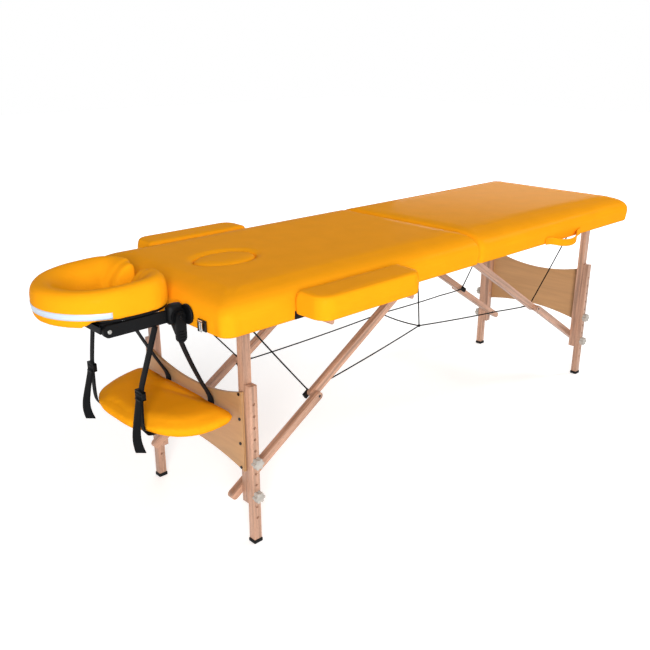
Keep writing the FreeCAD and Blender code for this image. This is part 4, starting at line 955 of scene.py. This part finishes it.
# Bracing cables
class MASSAGE_TABLE_OT_cables(bpy.types.Operator):
    """Draw the bracing cables, their crimps and the lugs on the knees"""
    bl_idname = "massage_table.cables"
    bl_label = "Bracing cables"

    def execute(self, context):
        for end, sign in ENDS.items():
            for side, across in SIDES.items():
                knee, low, knot, hinge = self.stations(sign, across)
                diagonal = self.cable(f"{end}_{side}_diagonal_cable", knee, hinge, 3)
                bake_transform(diagonal)
                if end == "head":
                    inner = self.cable(f"head_{side}_long_cable", low, knot, 4)
                    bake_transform(inner)
                    drop_line = self.cable(f"{side}_drop_cable", knot, self.eye(across), 0)
                    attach(drop_line, "head_section")
                else:
                    # in two, split three tenths of the way from the knee towards the knot
                    part = low.lerp(knot, 0.3)
                    outer = self.cable(f"foot_{side}_outer_cable", low, part, 1)
                    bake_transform(outer)
                    inner = self.cable(f"foot_{side}_inner_cable", part, knot, 2)
                    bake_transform(inner)
                if side == "near":
                    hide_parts(f"{end}_cables")
            self.lugs(end, sign)
        cross = self.cable("cross_cable", self.knot(-1), self.knot(1), 5)
        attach(cross, "head_section")
        self.crimps()
        return {"FINISHED"}

    def stations(self, sign, across):
        """Where the cables are held: the diagonal and the long one side by side on the knee, the knot under
        the seam and the leg's hinge."""
        return (Vector((sign * 545.9, across * 152.6, 319.1)), Vector((sign * 545.9, across * 147.8, 319.1)),
                self.knot(across), Vector((sign * 830, across * 171, 653)))

    def knot(self, across):
        return Vector((-1, across * 85, 360))

    def eye(self, across):
        """Where a knot hangs from, under the head half's deck."""
        return Vector((-21, across * 81.5, 611))

    def cable(self, name, start, end, sag):
        """A coated wire rope pulled nearly straight."""
        middle = (start + end) / 2 - Vector((0, 0, 2 * sag))
        points = [at(*start), at(*middle), at(*end)]
        line = route_points(points)
        holder = show(route_curve(name, points), name + "_route")
        holder.data.bevel_depth = settings().cable_diameter / 2
        holder.data.bevel_resolution = 3
        holder.data.use_fill_caps = True
        mesh = finished_mesh(holder)
        drop(holder)
        coat = moulded("Extruded PVC over wire rope", "#08090A", rough=0.55, grit=1.2, gloss_level=0.06)
        cable = dress(smooth(show(mesh, name)), coat)
        return cable

    def lugs(self, end, sign):
        """Black lugs on the upper braces' ends, with the sleeves that the cables leave through."""
        bm = bmesh.new()
        for across in SIDES.values():
            knee, low, knot, hinge = self.stations(sign, across)
            middle = at(*((knee + low) / 2)) + Vector((sign * 8.5, 0, -5.3)) * MM
            block(bm, middle - Vector((11, 4.8, 8.5)) * MM, middle + Vector((11, 4.8, 8.5)) * MM, 2 * MM,
                  Matrix.Rotation(sign * BRACE_SLOPE, 3, "Y"))
            # the diagonal's sleeve is short, because it points at the deck when the legs are folded
            self.sleeve(bm, at(*low), at(*knot), 34 * MM)
            self.sleeve(bm, at(*knee), at(*hinge), 17 * MM)
        mount(joined(bm, f"{end}_cable_lugs", black_plastic()), f"{end}_upper_braces", "black_plastic")

    def sleeve(self, bm, root, goal, length):
        made = bmesh.ops.create_cone(bm, cap_ends=True, segments=20, radius1=2.8 * MM, radius2=2.5 * MM,
                                     depth=length)["verts"]
        bmesh.ops.translate(bm, verts=made, vec=(0, 0, length / 2))
        aim(bm, made, goal - root, root)

    def crimps(self):
        bm = bmesh.new()
        for across in SIDES.values():
            made = bmesh.ops.create_uvsphere(bm, u_segments=20, v_segments=12, radius=4.6 * MM)["verts"]
            bmesh.ops.scale(bm, verts=made, vec=(1.3, 1, 1))
            bmesh.ops.translate(bm, verts=made, vec=at(*self.knot(across)))
            eye = bmesh.ops.create_cone(bm, cap_ends=True, segments=20, radius1=6 * MM, radius2=6 * MM,
                                        depth=2 * MM)["verts"]
            bmesh.ops.translate(bm, verts=eye, vec=at(*self.eye(across)))
        mount(joined(bm, "cable_crimps", black_plastic()), "head_section", "black_plastic")


# Finishes of the construction's own pieces
class MASSAGE_TABLE_OT_frame_finishes(bpy.types.Operator):
    """Give every piece of the construction its finish and ease its edges"""
    bl_idname = "massage_table.frame_finishes"
    bl_label = "Frame finishes"

    def execute(self, context):
        slots = {part["node"]: part["material_slot"] for part in frame["record"]["subparts"]}
        for body, names in frame["record"]["behaviour"]["bodies"].items():
            for name in names:
                if NODES[name].hide_render:
                    continue
                finish, edge = self.finish(name)
                dress(NODES[name], finish)
                if edge:
                    copy = self.eased(NODES[name], edge)
                    dress(copy, finish)
                    mount(copy, body, slots[name], name)
        return {"FINISHED"}

    def eased(self, obj, edge):
        """A merged copy of a piece of the construction with its long edges rounded."""
        bm = bmesh.new()
        bm.from_mesh(obj.data)
        bmesh.ops.remove_doubles(bm, verts=bm.verts[:], dist=0.01 * MM)
        bmesh.ops.dissolve_limit(bm, angle_limit=math.radians(0.5), verts=bm.verts[:], edges=bm.edges[:])
        sharp = [e for e in bm.edges if len(e.link_faces) == 2 and e.calc_length() > 6 * edge * MM
                 and e.calc_face_angle() > math.radians(50)]
        bmesh.ops.bevel(bm, geom=sharp, offset=edge * MM, offset_type="OFFSET", segments=2, profile=0.5,
                        affect="EDGES", material=-1, clamp_overlap=True)
        return joined(bm, obj.name + "_eased")

    def finish(self, name):
        """The material of a piece, and how far its edges are eased in millimetres."""
        brace_turn = (0, -BRACE_SLOPE if name.startswith("head") else BRACE_SLOPE, 0)
        if "posts" in name or "extension" in name:
            return beech("upright", (0, math.radians(-90), 0)), 1.6
        if "braces" in name:
            return beech(name.split("_")[0] + " brace", brace_turn), 1.6
        if "rails" in name or "armrest_base" in name:
            return beech("level"), 1.0
        if "end_panel" in name:
            return plywood("panel", "X"), 0.8
        if "deck" in name:
            return plywood("deck", "Z"), 0
        if "knob" in name:
            return moulded("Injection-moulded grey ABS", "#B3ADA5", rough=0.45, grit=1.2), 1.2
        if "rubber" in name:
            return moulded("Moulded rubber", "#0A0A0B", rough=0.7, grit=1.0, gloss_level=0.2), 1.2
        if name in ("cradle_frame", "cradle_platform", "cam_lever"):
            return black_plastic(), 1.5
        if "bases" in name:
            return black_steel(), 0.5
        if "hasp" in name or "latch" in name:
            return chrome(), 0.5
        if "bolts" in name or "screws" in name:
            return black_steel(), 0
        return zinc(), 0.4


# Stage
def seen_ray(tree):
    """1 on rays from the camera, in reflections and through glass, 0 on rays that carry light."""
    ray = add_node(tree, "ShaderNodeLightPath")
    total = ray.outputs["Is Camera Ray"]
    for kind in ("Is Glossy Ray", "Is Transmission Ray"):
        either = add_node(tree, "ShaderNodeMath", {"operation": "MAXIMUM"}, total, ray.outputs[kind])
        total = either.outputs["Value"]
    return total


class MASSAGE_TABLE_OT_stage(bpy.types.Operator):
    """Set the floor, the soft light and the camera"""
    bl_idname = "massage_table.stage"
    bl_label = "Stage"

    # the camera fitted to the photo: its sensor in millimetres, its focal length and picture in pixels
    SENSOR = 36
    FOCAL_PIXELS = 764.4
    PHOTO_PIXELS = 650

    def execute(self, context):
        scene = context.scene
        scene.view_settings.view_transform = "Standard"
        self.floor()
        self.world(scene)
        target = at(-209.1, 141.5, 354.3)
        self.lamp("key", (-4.2, -4.9, 2.2), target, power=390, size=2.2)
        self.lamp("fill", (4.3, -2.0, 3.0), target, power=75, size=1.4)
        # it lights the sides turned away, and would lie as a sheet of glare on the table top
        self.lamp("back", (3.0, 4.6, 2.8), target, power=75, size=3.4).visible_glossy = False
        # a low strip beyond the foot end gives the far half of the top its pale sheen
        strip = self.lamp("strip", (2.755, 1.097, 1.0), at(0, 0, 1000), power=10, size=2.0)
        strip.data.shape, strip.data.size_y, strip.visible_camera = "RECTANGLE", 0.4, False
        view = bpy.data.cameras.new("photo_view")
        view.sensor_width = self.SENSOR
        view.lens = self.SENSOR * self.FOCAL_PIXELS / self.PHOTO_PIXELS
        view.clip_end = 50
        camera = bpy.data.objects.new("photo_view", view)
        scene.collection.objects.link(camera)
        camera.location = at(-1835.6, -1581.0, 1204.5)
        camera.rotation_euler = (target - camera.location).to_track_quat("-Z", "Y").to_euler()
        scene.camera = camera
        return {"FINISHED"}

    def floor(self):
        bm = bmesh.new()
        bmesh.ops.create_grid(bm, x_segments=1, y_segments=1, size=14)
        ground = object_from(bm, "floor")
        made, tree, surface = start_material("Pale matt floor", Roughness=0.9)
        surface.inputs["Base Color"].default_value = linear("#F4F4F4")
        # seen directly or in a reflection the floor is lifted to the backdrop's white, more so far away where
        # less lamp light falls, and it still takes the object's shadow
        place = add_node(tree, "ShaderNodeTexCoord")
        far = add_node(tree, "ShaderNodeVectorMath", {"operation": "LENGTH"}, place.outputs["Object"])
        lift = add_node(tree, "ShaderNodeMapRange", {"From Min": 1.0, "From Max": 5.0, "To Min": 0.42,
                                                     "To Max": 0.9}, Value=far.outputs["Value"])
        strength = add_node(tree, "ShaderNodeMath", {"operation": "MULTIPLY"}, lift.outputs["Result"],
                            seen_ray(tree))
        glow = add_node(tree, "ShaderNodeEmission", {"Color": (1, 1, 1, 1)},
                        Strength=strength.outputs["Value"])
        both = add_node(tree, "ShaderNodeAddShader", None, surface.outputs["BSDF"], glow.outputs["Emission"])
        tree.links.new(both.outputs["Shader"], tree.nodes["Material Output"].inputs["Surface"])
        dress(ground, made)

    def world(self, scene):
        sky = bpy.data.worlds.new("White surround")
        sky.use_nodes = True
        tree = sky.node_tree
        plain = tree.nodes["Background"]
        plain.inputs["Color"].default_value = (1, 1, 1, 1)
        plain.inputs["Strength"].default_value = 0.3
        bright = add_node(tree, "ShaderNodeBackground", {"Color": (1, 1, 1, 1), "Strength": 1.0})
        both = add_node(tree, "ShaderNodeMixShader", None, seen_ray(tree), plain.outputs["Background"],
                        bright.outputs["Background"])
        tree.links.new(both.outputs["Shader"], tree.nodes["World Output"].inputs["Surface"])
        scene.world = sky

    def lamp(self, name, place, target, power, size):
        light = bpy.data.lights.new(name, "AREA")
        light.energy = power
        light.size = size
        obj = bpy.data.objects.new(name, light)
        bpy.context.scene.collection.objects.link(obj)
        obj.location = place
        obj.rotation_euler = (target - Vector(place)).to_track_quat("-Z", "Y").to_euler()
        return obj


OPERATORS = [MASSAGE_TABLE_OT_stage, MASSAGE_TABLE_OT_cables, MASSAGE_TABLE_OT_pads,
             MASSAGE_TABLE_OT_face_plug, MASSAGE_TABLE_OT_face_cushion, MASSAGE_TABLE_OT_cradle_hardware,
             MASSAGE_TABLE_OT_arm_sling, MASSAGE_TABLE_OT_armrests, MASSAGE_TABLE_OT_carry_handle,
             MASSAGE_TABLE_OT_frame_finishes]


class MASSAGE_TABLE_PT_sidebar(bpy.types.Panel):
    """Lists the steps that dress the massage table"""
    bl_label = "Massage table"
    bl_idname = "MASSAGE_TABLE_PT_sidebar"
    bl_space_type = "VIEW_3D"
    bl_region_type = "UI"
    bl_category = "Massage table"

    def draw(self, context):
        for name in MassageTableSettings.__annotations__:
            self.layout.prop(context.scene.massage_table, name)
        for step in OPERATORS:
            self.layout.operator(step.bl_idname)


CLASSES = [MassageTableSettings, *OPERATORS, MASSAGE_TABLE_PT_sidebar]


def register():
    for cls in CLASSES:
        bpy.utils.register_class(cls)
    bpy.types.Scene.massage_table = bpy.props.PointerProperty(type=MassageTableSettings)


def unregister():
    del bpy.types.Scene.massage_table
    for cls in reversed(CLASSES):
        bpy.utils.unregister_class(cls)


def main():
    register()
    for step in OPERATORS:
        group, name = step.bl_idname.split(".")
        getattr(getattr(bpy.ops, group), name)()


if __name__ == "__main__":
    main()
